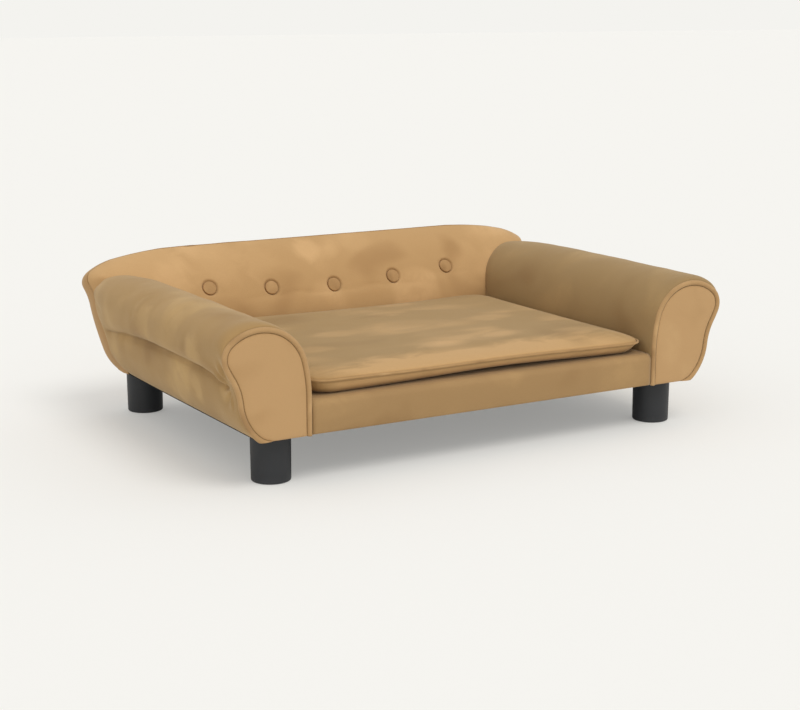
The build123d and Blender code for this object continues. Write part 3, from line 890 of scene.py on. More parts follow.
    def behind(self, co: Vector) -> float:
        """Distance of a point behind the seam's plane."""
        lean = math.atan2(self.reach, self.height)
        return (co.y - self.foot_y) * math.cos(lean) - (co.z - self.floor) * math.sin(lean)

    def up_seam(self, co: Vector) -> float:
        """Place of a point up the seam's plane."""
        lean = math.atan2(self.reach, self.height)
        return (co.z - self.floor) * math.cos(lean) + (co.y - self.foot_y) * math.sin(lean)

    def panel_shade(self, co: Vector, tree: KDTree, held: Sequence[Vector]) -> float:
        """Painted shade of a point of the pad: darker deep in its seam, with a painted shadow ring round each button.
        """
        edge = tree.find((co.x, self.up_seam(co), 0))[2]
        away = min((co - place).length for place in held)
        ring = bell(away - 0.0132, 0.0011)
        return max(0.6 * (1 - ease(edge, 0.0004, 0.0020)), 0.3 * ring)

    def band_depth(self, spot: Spot) -> float:
        """Depth of the border from the seam's plane to the rear face."""
        lean = math.atan2(self.reach, self.height)
        y = self.foot_y + spot.z * math.sin(lean)
        z = self.floor + spot.z * math.cos(lean)
        return (self.rear_y(z) - y) / (math.cos(lean) + self.rear_slope * math.sin(lean))

    def band_across(self, spot: Spot, outward: Vector) -> list[Vector]:
        """Points across the border at one spot of the outline.

        Args:
            spot: Place on the outline.
            outward: Direction out of the outline there.

        Returns:
            Points from the tucked front edge to the start of the rear face.
        """
        lean = math.atan2(self.reach, self.height)
        rearward = Vector((0, math.cos(lean), -math.sin(lean)))
        start = self.on_seam(spot.x, spot.z)
        depth = self.band_depth(spot)
        bend = min(self.round_of(spot.z), 0.8 * depth)
        across = [start - outward * 0.0030 + rearward * 0.0002, start - outward * 0.0012 + rearward * 0.0004]
        flat = depth - bend
        for step in range(7):
            share = step / 6
            crown = 0.0010 * math.sin(math.pi * share) - 0.0004 * (1 - share) ** 4
            across.append(start + rearward * (0.0012 + (flat - 0.0012) * share) + outward * crown)
        for step in range(1, 8):
            turn = math.pi / 2 * step / 7
            along = flat + bend * math.sin(turn)
            across.append(start + rearward * along - outward * (bend * (1 - math.cos(turn))))
        low = self.floor + 0.0006
        return [Vector((p.x, p.y, max(p.z, low))) for p in across]

    def rear_panel(self, columns: int = 120) -> bpy.types.Object:
        """Rear cover, stretched flat over its board and turned under at the foot."""
        rows = self.run()
        grid = []
        for number, spot in enumerate(rows):
            outward = self.outward_of(rows, number)
            end = self.band_across(spot, outward)[-1]
            x_end = abs(end.x) - 0.0006
            if spot.z > 0.99 * self.tall and number == 0:
                x_end = abs(end.x)
            z = max(end.z - 0.0006, self.floor + 0.0008)
            ring = []
            for i in range(columns + 1):
                x = x_end * (2 * i / columns - 1)
                edge = min(x_end - abs(x), rows[0].z - spot.z + 0.001)
                crown = 0.0012 * (1 - math.exp(-edge / 0.02)) - 0.0008
                crown += 0.0006 * ripple((x, 0.3, z), 11.0, 9.0)
                ring.append((x, self.rear_y(z) + crown, z))
            if grid and z > grid[-1][0][2] - 1e-5:
                continue
            grid.append(ring)
        foot = grid[-1]
        grid.append([(x, y - 0.0015, self.floor + 0.0004) for x, y, _ in foot])
        grid.append([(x * 0.999, y - 0.0065, self.floor + 0.0006) for x, y, _ in foot])
        piece = Mesher.loft("back_rear_panel", grid, closed=False, capped=False)
        Mesher.thicken(piece, 0.0014, Vector((0, 1, 0)))
        return piece

    def button(self) -> bpy.types.Object:
        """One covered button at the origin, facing up, modelled from a cylinder."""
        bpy.ops.object.select_all(action="DESELECT")
        bpy.ops.mesh.primitive_cylinder_add(vertices=48, radius=self.button_radius, depth=0.006, location=(0, 0, -0.003))
        made = bpy.context.active_object
        bpy.ops.object.mode_set(mode="EDIT")
        Mesher.pick(made, lambda face: face.normal.z > 0.9)
        bpy.ops.mesh.bevel(offset=0.0017, segments=5, affect="EDGES")
        for _ in range(4):
            Mesher.pick(made, lambda face: face.normal.z > 0.9999)
            bpy.ops.mesh.inset(thickness=0.0019, depth=0.00016)
        bpy.ops.object.mode_set(mode="OBJECT")
        bpy.ops.object.transform_apply(location=True, rotation=True, scale=True)
        for face in made.data.polygons:
            face.use_smooth = True
        return made

    def buttons_set(self, finish: Paint) -> list[bpy.types.Object]:
        """All five buttons in their dimples."""
        first = self.button()
        made = []
        for number, (place, outward) in enumerate(self.button_places(), start=1):
            mesh = first.data.copy()
            turn = outward.to_track_quat("Z", "Y").to_matrix().to_4x4()
            mesh.transform(Matrix.Translation(place - outward * 0.0004) @ turn)
            piece = bpy.data.objects.new(f"back_button_{number}", mesh)
            bpy.context.scene.collection.objects.link(piece)
            finish.dress(piece)
            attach(piece, "frame")
            made.append(piece)
        bpy.data.objects.remove(first)
        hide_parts("back_buttons")
        return made

    def build(self) -> list[bpy.types.Object]:
        """Makes and dresses the back's pieces."""
        naps = tuple(Nap((x, self.pad_y(z), z), reach, gain) for x, z, reach, gain in self.brushed)
        # The back's velvet is a lighter copy, painting the light that falls on the pad, with painted highlights at
        # the given patches.
        warm = Velvet(
            "velvet_back",
            from_srgb(192, 154, 106), from_srgb(218, 178, 128), from_srgb(164, 126, 82), 8.0, 1.7, naps,
        )
        edge = Velvet(
            "velvet_border",
            from_srgb(178, 140, 94), from_srgb(200, 160, 112), from_srgb(140, 106, 68), 9.0, 4.1,
        )
        knob = Velvet(
            "velvet_button",
            from_srgb(182, 144, 98), from_srgb(198, 160, 112), from_srgb(150, 114, 74), 30.0, 2.2,
        )
        panel = self.front_panel()
        swell = Inflation(cap=0.003)
        held = [place for place, _ in self.button_places()]
        tree = self.edge_tree()
        low = self.seat_top + 0.002

        def is_held(co: Vector) -> bool:
            """Whether the seam, the board or a button holds a point."""
            near = min((co - place).length for place in held) < 0.016
            edge = tree.find((co.x, self.up_seam(co), 0))[2]
            return self.behind(co) > -0.001 or near or co.z < low or edge < 0.003

        swell.swell(panel, is_held)
        Mesher.refine(panel)
        self.tuft(panel)
        # Painted shade in the pad's seam and round the buttons.
        Mesher.mark(panel, lambda co: self.panel_shade(co, tree, held))
        warm.paint().dress(panel)
        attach(panel, "frame")
        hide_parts("back_front_cover", "back_foam")
        band = self.border_band()
        Mesher.refine(band)
        # Painted shade along the band's front edge, where it meets the pad.
        Mesher.mark(band, lambda co: 0.5 * (1 - ease(self.behind(co), 0.0004, 0.0014)))
        trim = edge.paint()
        trim.dress(band)
        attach(band, "frame")
        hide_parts("back_border")
        rear = self.rear_panel()
        trim.dress(rear)
        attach(rear, "frame")
        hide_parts("back_rear_cover")
        return [panel, band, rear, *self.buttons_set(knob.paint())]


@dataclass(frozen=True)
class Arm:
    """A rolled arm with its flat facing and welt. The right one is made, and the left one is its twin."""

    back: Backrest
    inner: float = 0.312
    floor: float = 0.073
    width: float = 0.142
    height: float = 0.1752
    rim_front: float = -0.299
    rim_rear: float = -0.279
    facing_front: float = -0.301
    facing_width: float = 0.1238
    facing_height: float = 0.1604
    margin: float = 0.0091
    welt_radius: float = 0.0039
    welt_y: float = -0.3005
    share: tuple[Flat, ...] = (
        (0.0, 0.297),
        (0.042, 0.618),
        (0.374, 0.957),
        (0.893, 0.937),
        (0.989, 0.728),
        (0.906, 0.547),
        (0.835, 0.295),
        (0.619, 0.0),
    )
    facing_share: tuple[Flat, ...] = (
        (0.0, 0.353),
        (0.052, 0.689),
        (0.370, 0.972),
        (0.935, 0.905),
        (0.989, 0.719),
        (0.921, 0.620),
        (0.819, 0.375),
        (0.593, 0.0),
    )
    steps: tuple[int, ...] = (10, 12, 15, 15, 9, 10, 14, 10)
    foot_round: float = 0.006
    end_round: float = 0.014
    crease_top: float = 0.1672
    crease_middle: float = -0.085
    crease_bow: float = 0.173
    crease_depth: float = 0.0058
    board_near: Flat = (0.130, 0.172)
    pucker: Flat = (-0.293, 0.158)
    # x, y, z, reach and gain of each painted highlight on the roll, used mirrored on the left roll.
    brushed: tuple[tuple[float, float, float, float, float], ...] = (
        (0.448, 0.003, 0.200, 0.046, 0.7),
        (0.448, -0.194, 0.198, 0.036, 0.8),
        (0.434, -0.160, 0.131, 0.030, 0.8),
        (0.436, -0.262, 0.146, 0.024, 0.8),
        (0.436, -0.100, 0.150, 0.050, 0.4),
    )

    def ends(self, blend: float) -> list[Flat]:
        """Points of the outline: 0 is the full roll, 1 the facing's own outline."""
        found = []
        left = self.inner + self.margin
        for (x, z), (fx, fz) in zip(self.share, self.facing_share):
            full = (self.inner + x * self.width, self.floor + z * self.height)
            drawn = (left + fx * self.facing_width, self.floor + fz * self.facing_height)
            found.append((full[0] + (drawn[0] - full[0]) * blend, full[1] + (drawn[1] - full[1]) * blend))
        return found

    def run(self, blend: float) -> list[Spot]:
        """Outline from the inner foot, over the roll, to the outer foot."""
        ends = self.ends(blend)
        (foot_x, _), (last_x, last_z) = ends[-1], ends[-2]
        rise = self.foot_round * (1 + blend)
        ends[-1] = (foot_x + (last_x - foot_x) * rise / (last_z - self.floor), self.floor + rise)
        first_x, first_z = ends[0]
        count = self.steps[0]
        spots = [Spot(first_x, self.floor + (first_z - self.floor) * i / count, math.pi / 2) for i in range(count)]
        spots += arc_run(ends[0], math.pi / 2, ends[1:], self.steps[1:])
        end = spots[-1]
        chord = (end.heading - math.pi) / 2
        landing = (end.x - rise / math.tan(chord), self.floor)
        return spots + arc_run((end.x, end.z), end.heading, [landing], [6])[1:]

    def closed(self, blend: float, grow: float) -> list[tuple[float, float, float]]:
        """Closed outline as x, z and the share of the way round, with soft lower edges."""
        spots = self.run(blend)
        low = self.floor + 0.0009
        found = []
        for number, spot in enumerate(spots):
            x, z = spot.grown(grow)
            found.append((x, max(z, low), number / (len(spots) - 1)))
        left, right = found[0][0], found[-1][0]
        found[0] = (left, low + 0.003, 0.0)
        found[1] = (left, max(found[1][1], low + 0.005), found[1][2])
        span = right - left - 0.0035
        under = [(right - span * i / 13, low) for i in range(1, 14)] + [(left + 0.0012, low + 0.0009)]
        return found + [(x, z, -1.0) for x, z in under]

    def stations(self) -> list[tuple[float, float, float]]:
        """Places along the arm's front rim, each with its blend to the facing's outline and its growth."""
        full = 2 * self.welt_radius + 0.0001
        found = [(self.welt_y - 0.0012, 1.0, full - 0.0022), (self.welt_y, 1.0, full - 0.0003)]
        depth = self.rim_rear - self.rim_front
        for share in (0.0, 0.02, 0.06, 0.12, 0.22, 0.36, 0.54, 0.76):
            blend = 1 - math.sqrt(1 - (1 - share) ** 2)
            found.append((self.rim_front + share * depth, blend, blend * full))
        return found

    def body(self) -> bpy.types.Object:
        """Upholstered roll, from its rim behind the facing to the seam of the back."""
        rings = []
        for y, blend, grow in self.stations():
            rings.append([(x, y, z) for x, z, _ in self.closed(blend, grow)])
        outline = self.closed(0.0, 0.0)
        heading = [s.heading for s in self.run(0.0)]
        heading += [-math.pi] * (len(outline) - len(heading))
        limits = [self.back.half_at(z) - 0.0008 for _, z, _ in outline]
        start = self.rim_rear
        count = 108
        for step in range(count + 1):
            share = step / count
            ring = []
            for (x, z, u), angle, limit in zip(outline, heading, limits):
                end = self.back.seam_y(z) + 0.0010
                y = start + (end - start) * share
                ring.append(self.shaped((x, y, z), u, angle, end - y, limit))
            rings.append(ring)
        return Mesher.loft("right_arm_upholstery", rings)

    def shaped(self, point: Point, u: float, angle: float, left: float, limit: float) -> Point:
        """Point of the roll with its rear end drawn in to the back.

        Args:
            point: Place on the plain outline.
            u: Share of the way round, or -1 below.
            angle: Heading of the outline.
            left: Distance to the seam of the back.
            limit: Half width of the back at the point's height.

        Returns:
            The point, moved inwards near the seam.
        """
        x, y, z = point
        turn = min(clamp(1 - left / self.end_round), 0.9999)
        close = 1 - math.sqrt(1 - turn**2)
        if u < 0:
            return (x + (min(x, limit) - x) * close, y, z)
        side, top = max(0.0, -math.sin(angle)), max(0.0, math.cos(angle))
        inner = 1 - ease(x, 0.316, 0.345)
        outer = 0.003 + 0.018 * ease(z, 0.160, 0.228)
        draw = math.exp(-left / 0.050) * max(0.018 * top**1.5, outer * min(1.0, 2 * side))
        draw *= 1 - 0.85 * inner
        tuck = clamp(1 - (self.back.pad_y(z) - y) / 0.010)
        draw += 0.004 * (1 - math.sqrt(1 - min(tuck, 0.999) ** 2)) * (1 - side)
        draw *= ease(z, self.floor, self.floor + 0.012)
        x += math.sin(angle) * draw
        z -= math.cos(angle) * draw
        return (x + (min(x, limit) - x) * close, y, z)

    def crease_z(self, y: float) -> float:
        """Height of the outer crease along the arm."""
        dip = 0.008 * ease(-y, 0.21, 0.29)
        return self.crease_top - self.crease_bow * (y - self.crease_middle) ** 2 - dip

    def behind_crease(self, co: Vector) -> float:
        """How far a point is past the place where the crease runs out, near the seam of the back."""
        return co.y - self.back.seam_y(co.z) + 0.016

    def fold(self, co: Vector) -> float:
        """Depth of the outer crease and of the small puckers beside the welt."""
        outer = ease(abs(co.x), 0.405, 0.428)
        if outer == 0.0:
            return 0.0
        gap = co.z - self.crease_z(co.y)
        width = 0.0050 if gap > 0 else 0.0120
        fade = ease(co.y, -0.292, -0.262) * (1 - ease(self.behind_crease(co), -0.026, 0.010))
        fade *= 1 - 0.55 * ease(co.y, *self.board_near)
        depth = self.crease_depth * math.exp(-abs(gap) / width) * fade
        depth -= 0.0020 * bell(gap - 0.019, 0.013) * fade
        reach = math.hypot(co.y - self.pucker[0], co.z - self.pucker[1])
        turn = math.atan2(co.z - self.pucker[1], co.y - self.pucker[0])
        edge = ease(co.y, -0.292, -0.283)
        depth += 0.0013 * bell(reach - 0.024, 0.012) * math.cos(8.5 * turn + 0.6) * edge
        return depth * outer

    def shade(self, co: Vector) -> float:
        """Painted shade of a point of the roll, in its crease and against the welt."""
        outer = ease(abs(co.x), 0.405, 0.428)
        gap = co.z - self.crease_z(co.y)
        crease = 0.42 * bell(gap - 0.0006, 0.0024) * outer * ease(co.y, -0.285, -0.240)
        crease *= 1 - ease(self.behind_crease(co), -0.020, 0.004)
        return max(crease, 0.55 * (1 - ease(co.y, self.welt_y, self.welt_y + 0.0022)))

    def facing(self) -> bpy.types.Object:
        """Flat front panel over its board, turned in at the welt."""
        front = self.facing_front
        levels = [
            (0.0, front + 0.0052),
            (0.0, front + 0.0014),
            (-0.0002, front + 0.0006),
            (-0.0008, front),
            (-0.0019, front - 0.0005),
            (-0.0038, front - 0.0009),
            (-0.0080, front - 0.0012),
            (-0.0150, front - 0.0014),
            (-0.0240, front - 0.0015),
        ]
        rings = []
        low = self.floor + 0.0004
        for grow, y in levels:
            spots = [s.grown(grow) for s in self.run(1.0)]
            ring = [(x, y, max(z, low - 0.6 * grow)) for x, z in spots]
            right, left = ring[-1][0], ring[0][0]
            ring += [(right + (left - right) * i / 14, y, low - 0.6 * grow) for i in range(1, 14)]
            rings.append(ring)
        return Mesher.loft("right_arm_facing", rings)

    def welt(self) -> bpy.types.Object:
        """Welt round the facing, a cord in velvet cut on the bias."""
        spots = self.run(1.0)
        reach = self.welt_radius + 0.0001
        path = [Vector((x, self.welt_y, z)) for x, z in (s.grown(reach) for s in spots)]
        run_out = 0.012
        path.insert(0, path[0] - Vector((0, 0, run_out)))
        last = spots[-1].heading
        path.append(path[-1] + Vector((math.cos(last), 0, math.sin(last))) * run_out)
        fine: list[Vector] = []
        for a, b in zip(path, path[1:]):
            fine += [a, (a + b) / 2]
        fine.append(path[-1])

        def radius(number: int) -> float:
            """Radius with the faint unevenness of a stuffed welt."""
            return self.welt_radius * (1 + 0.018 * ripple((number * 0.11, 0.4, 1.1), 3.0))

        made = Mesher.tube("right_arm_welting", fine, radius, 20, closed=False)
        Mesher.cut_below(made, self.floor + 0.0003)
        return made

    def full(self, co: Vector, normal: Vector, seed: float) -> Vector:
        """Point after the fabric's own small swells and hollows."""
        free = ease(co.y, -0.285, -0.250) * ease(co.z, 0.076, 0.095)
        wave = 0.0010 * ripple(tuple(co), 13.0, seed) + 0.0004 * ripple(tuple(co), 34.0, seed + 2)
        return co + normal * (wave * free - self.fold(co))

    def build(self) -> list[bpy.types.Object]:
        """Makes and dresses both arms."""
        body = self.body()

        def is_held(co: Vector) -> bool:
            """Whether a board, a seam or the floor of the arm holds a point."""
            end = self.back.seam_y(co.z) - 0.004
            crease = abs(co.z - self.crease_z(co.y)) < 0.004 and co.x > 0.42
            return co.y < -0.286 or co.y > end or co.z < 0.078 or crease or (co.x < 0.316 and co.z < 0.135)

        Inflation(cap=0.0025).swell(body, is_held)
        Mesher.refine(body)
        front = self.facing()
        edge = self.facing_front
        # Painted shade in the facing's turned-in edge beside the welt.
        Mesher.mark(front, lambda co: 0.40 * ease(co.y, edge + 0.0002, edge + 0.0012) * ease(co.z, 0.074, 0.078))
        trim = self.welt()
        made = []
        # The rolls, facing and welt are copies of one velvet, each in tones set to paint its light: the left roll
        # lighter with painted highlights, the right roll darker as painted shade, the facing lighter where light
        # falls on the front.
        left_highlights = tuple(Nap((-x, y, z), reach, gain) for x, y, z, reach, gain in self.brushed)
        left = Velvet(
            "velvet_arm_left_lit",
            from_srgb(168, 136, 90), from_srgb(194, 160, 108), from_srgb(142, 109, 68), 8.5, 0.6, left_highlights,
        )
        right = Velvet(
            "velvet_arm_right_shaded",
            from_srgb(158, 130, 88), from_srgb(176, 145, 98), from_srgb(134, 103, 66), 8.5, 0.6,
        )
        flat = Velvet(
            "velvet_facing",
            from_srgb(188, 151, 106), from_srgb(196, 160, 114), from_srgb(172, 136, 92), 12.0, 6.3,
        )
        cord = Velvet(
            "velvet_welt",
            from_srgb(182, 146, 101), from_srgb(200, 163, 115), from_srgb(146, 112, 74), 20.0, 3.9,
        )
        rolls = {Side.RIGHT: right.paint(), Side.LEFT: left.paint()}
        shared = [flat.paint(), cord.paint()]
        slots = ["velvet", "velvet", "velvet_piping"]
        for side in (Side.RIGHT, Side.LEFT):
            word = side.word
            pieces = [body, front, trim]
            if side is Side.LEFT:
                names = [f"{word}_arm_upholstery", f"{word}_arm_facing", f"{word}_arm_welting"]
                pieces = [Mesher.twin(piece, name) for piece, name in zip(pieces, names)]
            seed = 4.0 if side is Side.LEFT else 8.0
            Mesher.bend(pieces[0], lambda co, normal, seed=seed: self.full(co, normal, seed))
            # Painted shade in the crease and against the welt.
            Mesher.mark(pieces[0], self.shade)
            for piece, paint, slot in zip(pieces, [rolls[side], *shared], slots):
                paint.dress(piece)
                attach(piece, "frame")
            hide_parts(f"{word}_arm_cover", f"{word}_arm_foam")
            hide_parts(f"{word}_arm_facing_cover")
            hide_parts(f"{word}_arm_welt")
            made += pieces
        return made


@dataclass(frozen=True)
class Deck:
    """Upholstered deck under the cushion, with the front band between the arms."""

    half: float = 0.3116
    front: float = -0.301
    top: float = 0.1262
    bend: float = 0.010
    floor: float = 0.0739
    rear: float = 0.214
    board_front: float = -0.2946
    seat_top: float = 0.1192

    def section(self) -> list[Flat]:
        """Side view, from the foot of the band over the deck and back below it."""
        found = [(self.front + 0.0018, self.floor), (self.front + 0.0004, self.floor + 0.0008)]
        rise = self.top - self.bend
        for step in range(9):
            found.append((self.front, self.floor + 0.002 + (rise - self.floor - 0.002) * step / 8))
        for step in range(1, 9):
            turn = math.pi / 2 * step / 8
            found.append((self.front + self.bend * (1 - math.cos(turn)), rise + self.bend * math.sin(turn)))
        start = self.front + self.bend
        for step in range(1, 73):
            found.append((start + (self.rear - start) * step / 72, self.top))
        found += [(self.rear, self.seat_top), (self.board_front, self.seat_top), (self.board_front, self.floor)]
        return found

    def build(self) -> list[bpy.types.Object]:
        """Makes and dresses the deck."""
        rings = []
        count = 88
        section = self.section()
        for step in range(count + 1):
            share = 2 * step / count - 1
            x = self.half * share
            ring = []
            for number, (y, z) in enumerate(section):
                band = bell(z - 0.100, 0.020) if y < self.front + 0.001 and number < 12 else 0.0
                crown = 0.0011 * band * (1 - abs(share) ** 6)
                crown += 0.0005 * ripple((x, y, z), 16.0, 2.0) * (1 if 2 < number < 80 else 0)
                lift = 0.0005 * ripple((x, y, 0.5), 18.0, 4.0) if 20 < number < 88 else 0.0
                ring.append((x, y - crown, z + lift))
            rings.append(ring)
        deck = Mesher.loft("seat_deck", rings)
        # The deck's velvet is a darker copy, painting the shade on the band below the cushion.
        Velvet(
            "velvet_deck",
            from_srgb(163, 131, 89), from_srgb(180, 146, 100), from_srgb(140, 108, 70), 9.0, 5.2).paint().dress(deck,
        )
        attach(deck, "frame")
        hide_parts("deck_cover", "deck_foam")
        return [deck]


@dataclass(frozen=True)
class Cushion:
    """Loose seat cushion, crowned and drawn in between its corners, with a piped seam and a zip behind."""

    half: float = 0.3064
    front: float = -0.292
    rear: float = 0.190
    corner: float = 0.033
    bow: float = 0.012
    floor: float = 0.1265
    thick: float = 0.0345
    seam: float = 0.14651
    reach: float = 0.241
    crown: tuple[Flat, ...] = (
        (0.0, 0.40),
        (0.0, 0.12),
        (0.0, 0.066),
        (0.07, 0.046),
        (0.17, 0.033),
        (0.30, 0.020),
        (0.44, 0.009),
        (0.54, 0.001),
        (0.58, 0.0),
        (0.62, 0.002),
        (0.69, 0.010),
        (0.77, 0.026),
        (0.85, 0.053),
        (0.915, 0.092),
        (0.958, 0.138),
        (0.986, 0.20),
        (1.0, 0.29),
    )
    top_rings: int = 8
    steps: tuple[int, ...] = (60, 8, 44, 8)
    zip_half: float = 0.150
    zip_floor: float = 0.181635
    zip_z: float = 0.13754
    piping: float = 0.0018
    # x, y and reach of each painted highlight on the cushion's top.
    brushed: tuple[Point, ...] = (
        (-0.141, -0.051, 0.030),
        (0.098, -0.190, 0.026),
        (-0.035, -0.205, 0.028),
        (0.150, -0.060, 0.030),
        (0.022, 0.060, 0.028),
        (-0.230, -0.140, 0.026),
        (0.215, -0.225, 0.030),
        (0.080, 0.130, 0.024),
    )

    def run(self, inset: float, fine: int = 1) -> list[Spot]:
        """Outline from above at an inset, as spots in X and Y, with each step divided as told."""
        side = self.half - inset
        front = self.front + inset
        rear = self.rear - inset
        corner = self.corner * (1 - 0.9 * max(0.0, inset) / self.reach)
        flat = side - corner
        ends = [
            (flat, front),
            (side, front + corner),
            (side, rear - corner),
            (flat, rear),
            (-flat, rear),
            (-side, rear - corner),
            (-side, front + corner),
            (-flat, front),
        ]
        steps = [fine * count for count in self.steps] * 2
        return arc_run(ends[-1], 2 * math.atan(self.bow), ends, steps)[:-1]

    def sag(self, x: float, y: float) -> float:
        """Lift of the seam's height along the front and rear edges, as the photograph shows."""
        across = x / self.half
        front = 0.0010 - 0.0024 * across + 0.0011 * (bell(x - 0.07, 0.09) - bell(x + 0.13, 0.09))
        rear = 0.0008 - 0.0020 * across
        share = ease(y, self.front, self.rear)
        return front * (1 - share) + rear * share

    def body(self) -> bpy.types.Object:
        """Closed crowned form, simulated as a stuffed cover held at its seam."""
        rings = []
        for z_share, inset in self.crown:
            z = self.floor + z_share * self.thick
            spots = self.run(inset * self.reach)
            rings.append([(s.x, s.z, z) for s in spots])
        first = self.crown[-1][1]
        for step in range(1, self.top_rings + 1):
            inset = first + (0.97 - first) * step / self.top_rings
            rings.append([(s.x, s.z, self.floor + self.thick) for s in self.run(inset * self.reach)])
        count = len(rings[0])
        faces = Mesher.skin(len(rings), count, True) + self.lid(0) + self.lid((len(rings) - 1) * count)
        made = Mesher.piece("seat_cushion", [p for ring in rings for p in ring], faces)

        def is_held(co: Vector) -> bool:
            """Whether the seam or the deck holds a point."""
            edge = min(self.half - abs(co.x), co.y - self.front, self.rear - co.y)
            return (abs(co.z - self.seam) < 0.004 and edge < 0.012) or co.z < self.floor + 0.002

        Inflation(cap=0.002, pressure=3.0).swell(made, is_held)
        Mesher.refine(made)
        Mesher.bend(made, self.settled)
        # Painted shade below the seam and along the cushion's underside.
        Mesher.mark(made, self.shade)
        return made

    def lid(self, start: int) -> list[Sequence[int]]:
        """Faces that close a ring from side to side, by the number of its first point."""
        wide = self.steps[0]
        short = sum(self.steps[1:])
        total = 2 * (wide + short)
        faces: list[Sequence[int]] = []
        middle = (0, wide, total - short)
        right = (wide, short // 2, wide + short)
        left = (total - short, short // 2, total)
        for first, steps, last in (middle, right, left):
            for k in range(steps):
                corners = (first + k, first + k + 1, last - k - 1, (last - k) % total)
                faces.append([start + n for n in dict.fromkeys(corners)])
        return faces

    def shade(self, co: Vector) -> float:
        """Painted shade of a point below the seam or under the cushion's edge."""
        edge = min(self.half - abs(co.x), co.y - self.front, self.rear - co.y)
        seam = self.seam + self.sag(co.x, co.y) - 0.0026
        rim = 1 - ease(edge, 0.004, 0.012)
        under = 0.75 * (1 - ease(co.z, self.floor + 0.001, self.floor + 0.012))
        return max(0.45 * bell(co.z - seam, 0.0016) * rim, under)

    def settled(self, co: Vector, normal: Vector) -> Vector:
        """Point of the cushion as it lies: flat below, notched at its seam and let in at its zip."""
        edge = min(self.half - abs(co.x), co.y - self.front, self.rear - co.y)
        rim = 1 - ease(edge, 0.0, 0.06)
        seam = self.seam
        notch = 0.0016 * bell(co.z - seam, 0.0024) * (1 - ease(edge, 0.008, 0.016))
        co = co - normal * notch
        wave = 0.0016 * ripple((co.x, co.y, 0), 7.0, 1.0) + 0.0007 * ripple((co.x, co.y, 0), 19.0, 7.0)
        up = ease(co.z, self.floor + 0.004, self.seam)
        co.z += up * (wave * (1 - rim) + self.sag(co.x, co.y) * rim)
        below = 1 - ease(co.z, self.floor, seam)
        co.z += 0.0056 * bell(co.x - 0.04, 0.16) * below * (1 - ease(co.y - self.front, 0.014, 0.060))
        co.z = max(co.z, self.floor + 0.0001)
        if abs(co.x) < self.zip_half + 0.0006 and abs(co.z - self.zip_z) < 0.0062 and co.y > self.zip_floor - 0.002:
            co.y = self.zip_floor - 0.0004
        return co

    def seam_cord(self) -> bpy.types.Object:
        """Narrow piping along the seam."""
        spots = self.run(-0.0007, fine=2)
        path = [Vector((s.x, s.z, self.seam + self.sag(s.x, s.z))) for s in spots]
        return Mesher.tube("seat_cushion_piping", path, lambda _: self.piping, 12, closed=True)

    def build(self) -> list[bpy.types.Object]:
        """Makes and dresses the cushion and its piping."""
        body = self.body()
        cord = self.seam_cord()
        # Painted highlights: a row along the front edge, where light falls on it, and the given patches on the top.
        naps = [Nap((0.1 * n + 0.05, -0.300, 0.152), 0.080, 0.8) for n in range(-3, 3)]
        naps += [Nap((x, y, 0.161), reach, 0.6) for x, y, reach in self.brushed]
        tones = (from_srgb(160, 130, 85), from_srgb(199, 160, 110), from_srgb(140, 110, 68))
        seat = Velvet("velvet_seat", *tones, 10.0, 7.7, tuple(naps), (0.5, 1.0, 1.0))
        seat.paint().dress(body)
        Velvet(
            "velvet_piping",
            from_srgb(176, 140, 94), from_srgb(196, 160, 112), from_srgb(134, 102, 66), 20.0, 9.1).paint().dress(cord,
        )
        for piece, slot in ((body, "velvet"), (cord, "velvet_piping")):
            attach(piece, "cushion")
        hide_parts("cushion_cover", "cushion_foam")
        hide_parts("cushion_piping")
        return [body, cord]


@dataclass(frozen=True)
class Underside:
    """Dust cloth stapled below the frame."""

    sink: float = 0.0006
    corner_fold: float = 0.010
    fold_run: float = 0.032

    def build(self) -> list[bpy.types.Object]:
        """Makes and dresses the cloth, sagging faintly between its edges and drawn in at its rear corners."""
        low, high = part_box("dust_cover")
        columns, rows = 120, 80
        grid = []
        for r in range(rows + 1):
            y = low.y + (high.y - low.y) * r / rows
            half = high.x - self.corner_fold * ease(y, high.y - self.fold_run, high.y - 0.004)
            ring = []
            for c in range(columns + 1):
                x = half * (2 * c / columns - 1)
                edge = min(half - abs(x), y - low.y, high.y - y)
                slack = self.sink * ease(edge, 0.0, 0.06) * (0.6 + 0.4 * ripple((x, y, 0), 9.0, 2.0))
                ring.append((x, y, low.z + 0.0001 + self.sink - slack))
            grid.append(ring)
        cloth = Mesher.loft("underside_dust_cloth", grid, closed=False, capped=False)
        Mesher.thicken(cloth, 0.0004, Vector((0, 0, -1)))
        Woven("dust_cloth", (0.008, 0.008, 0.008), (0.030, 0.030, 0.031), 1500.0).paint().dress(cloth)
        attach(cloth, "frame")
        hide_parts("dust_cover")
        return [cloth]


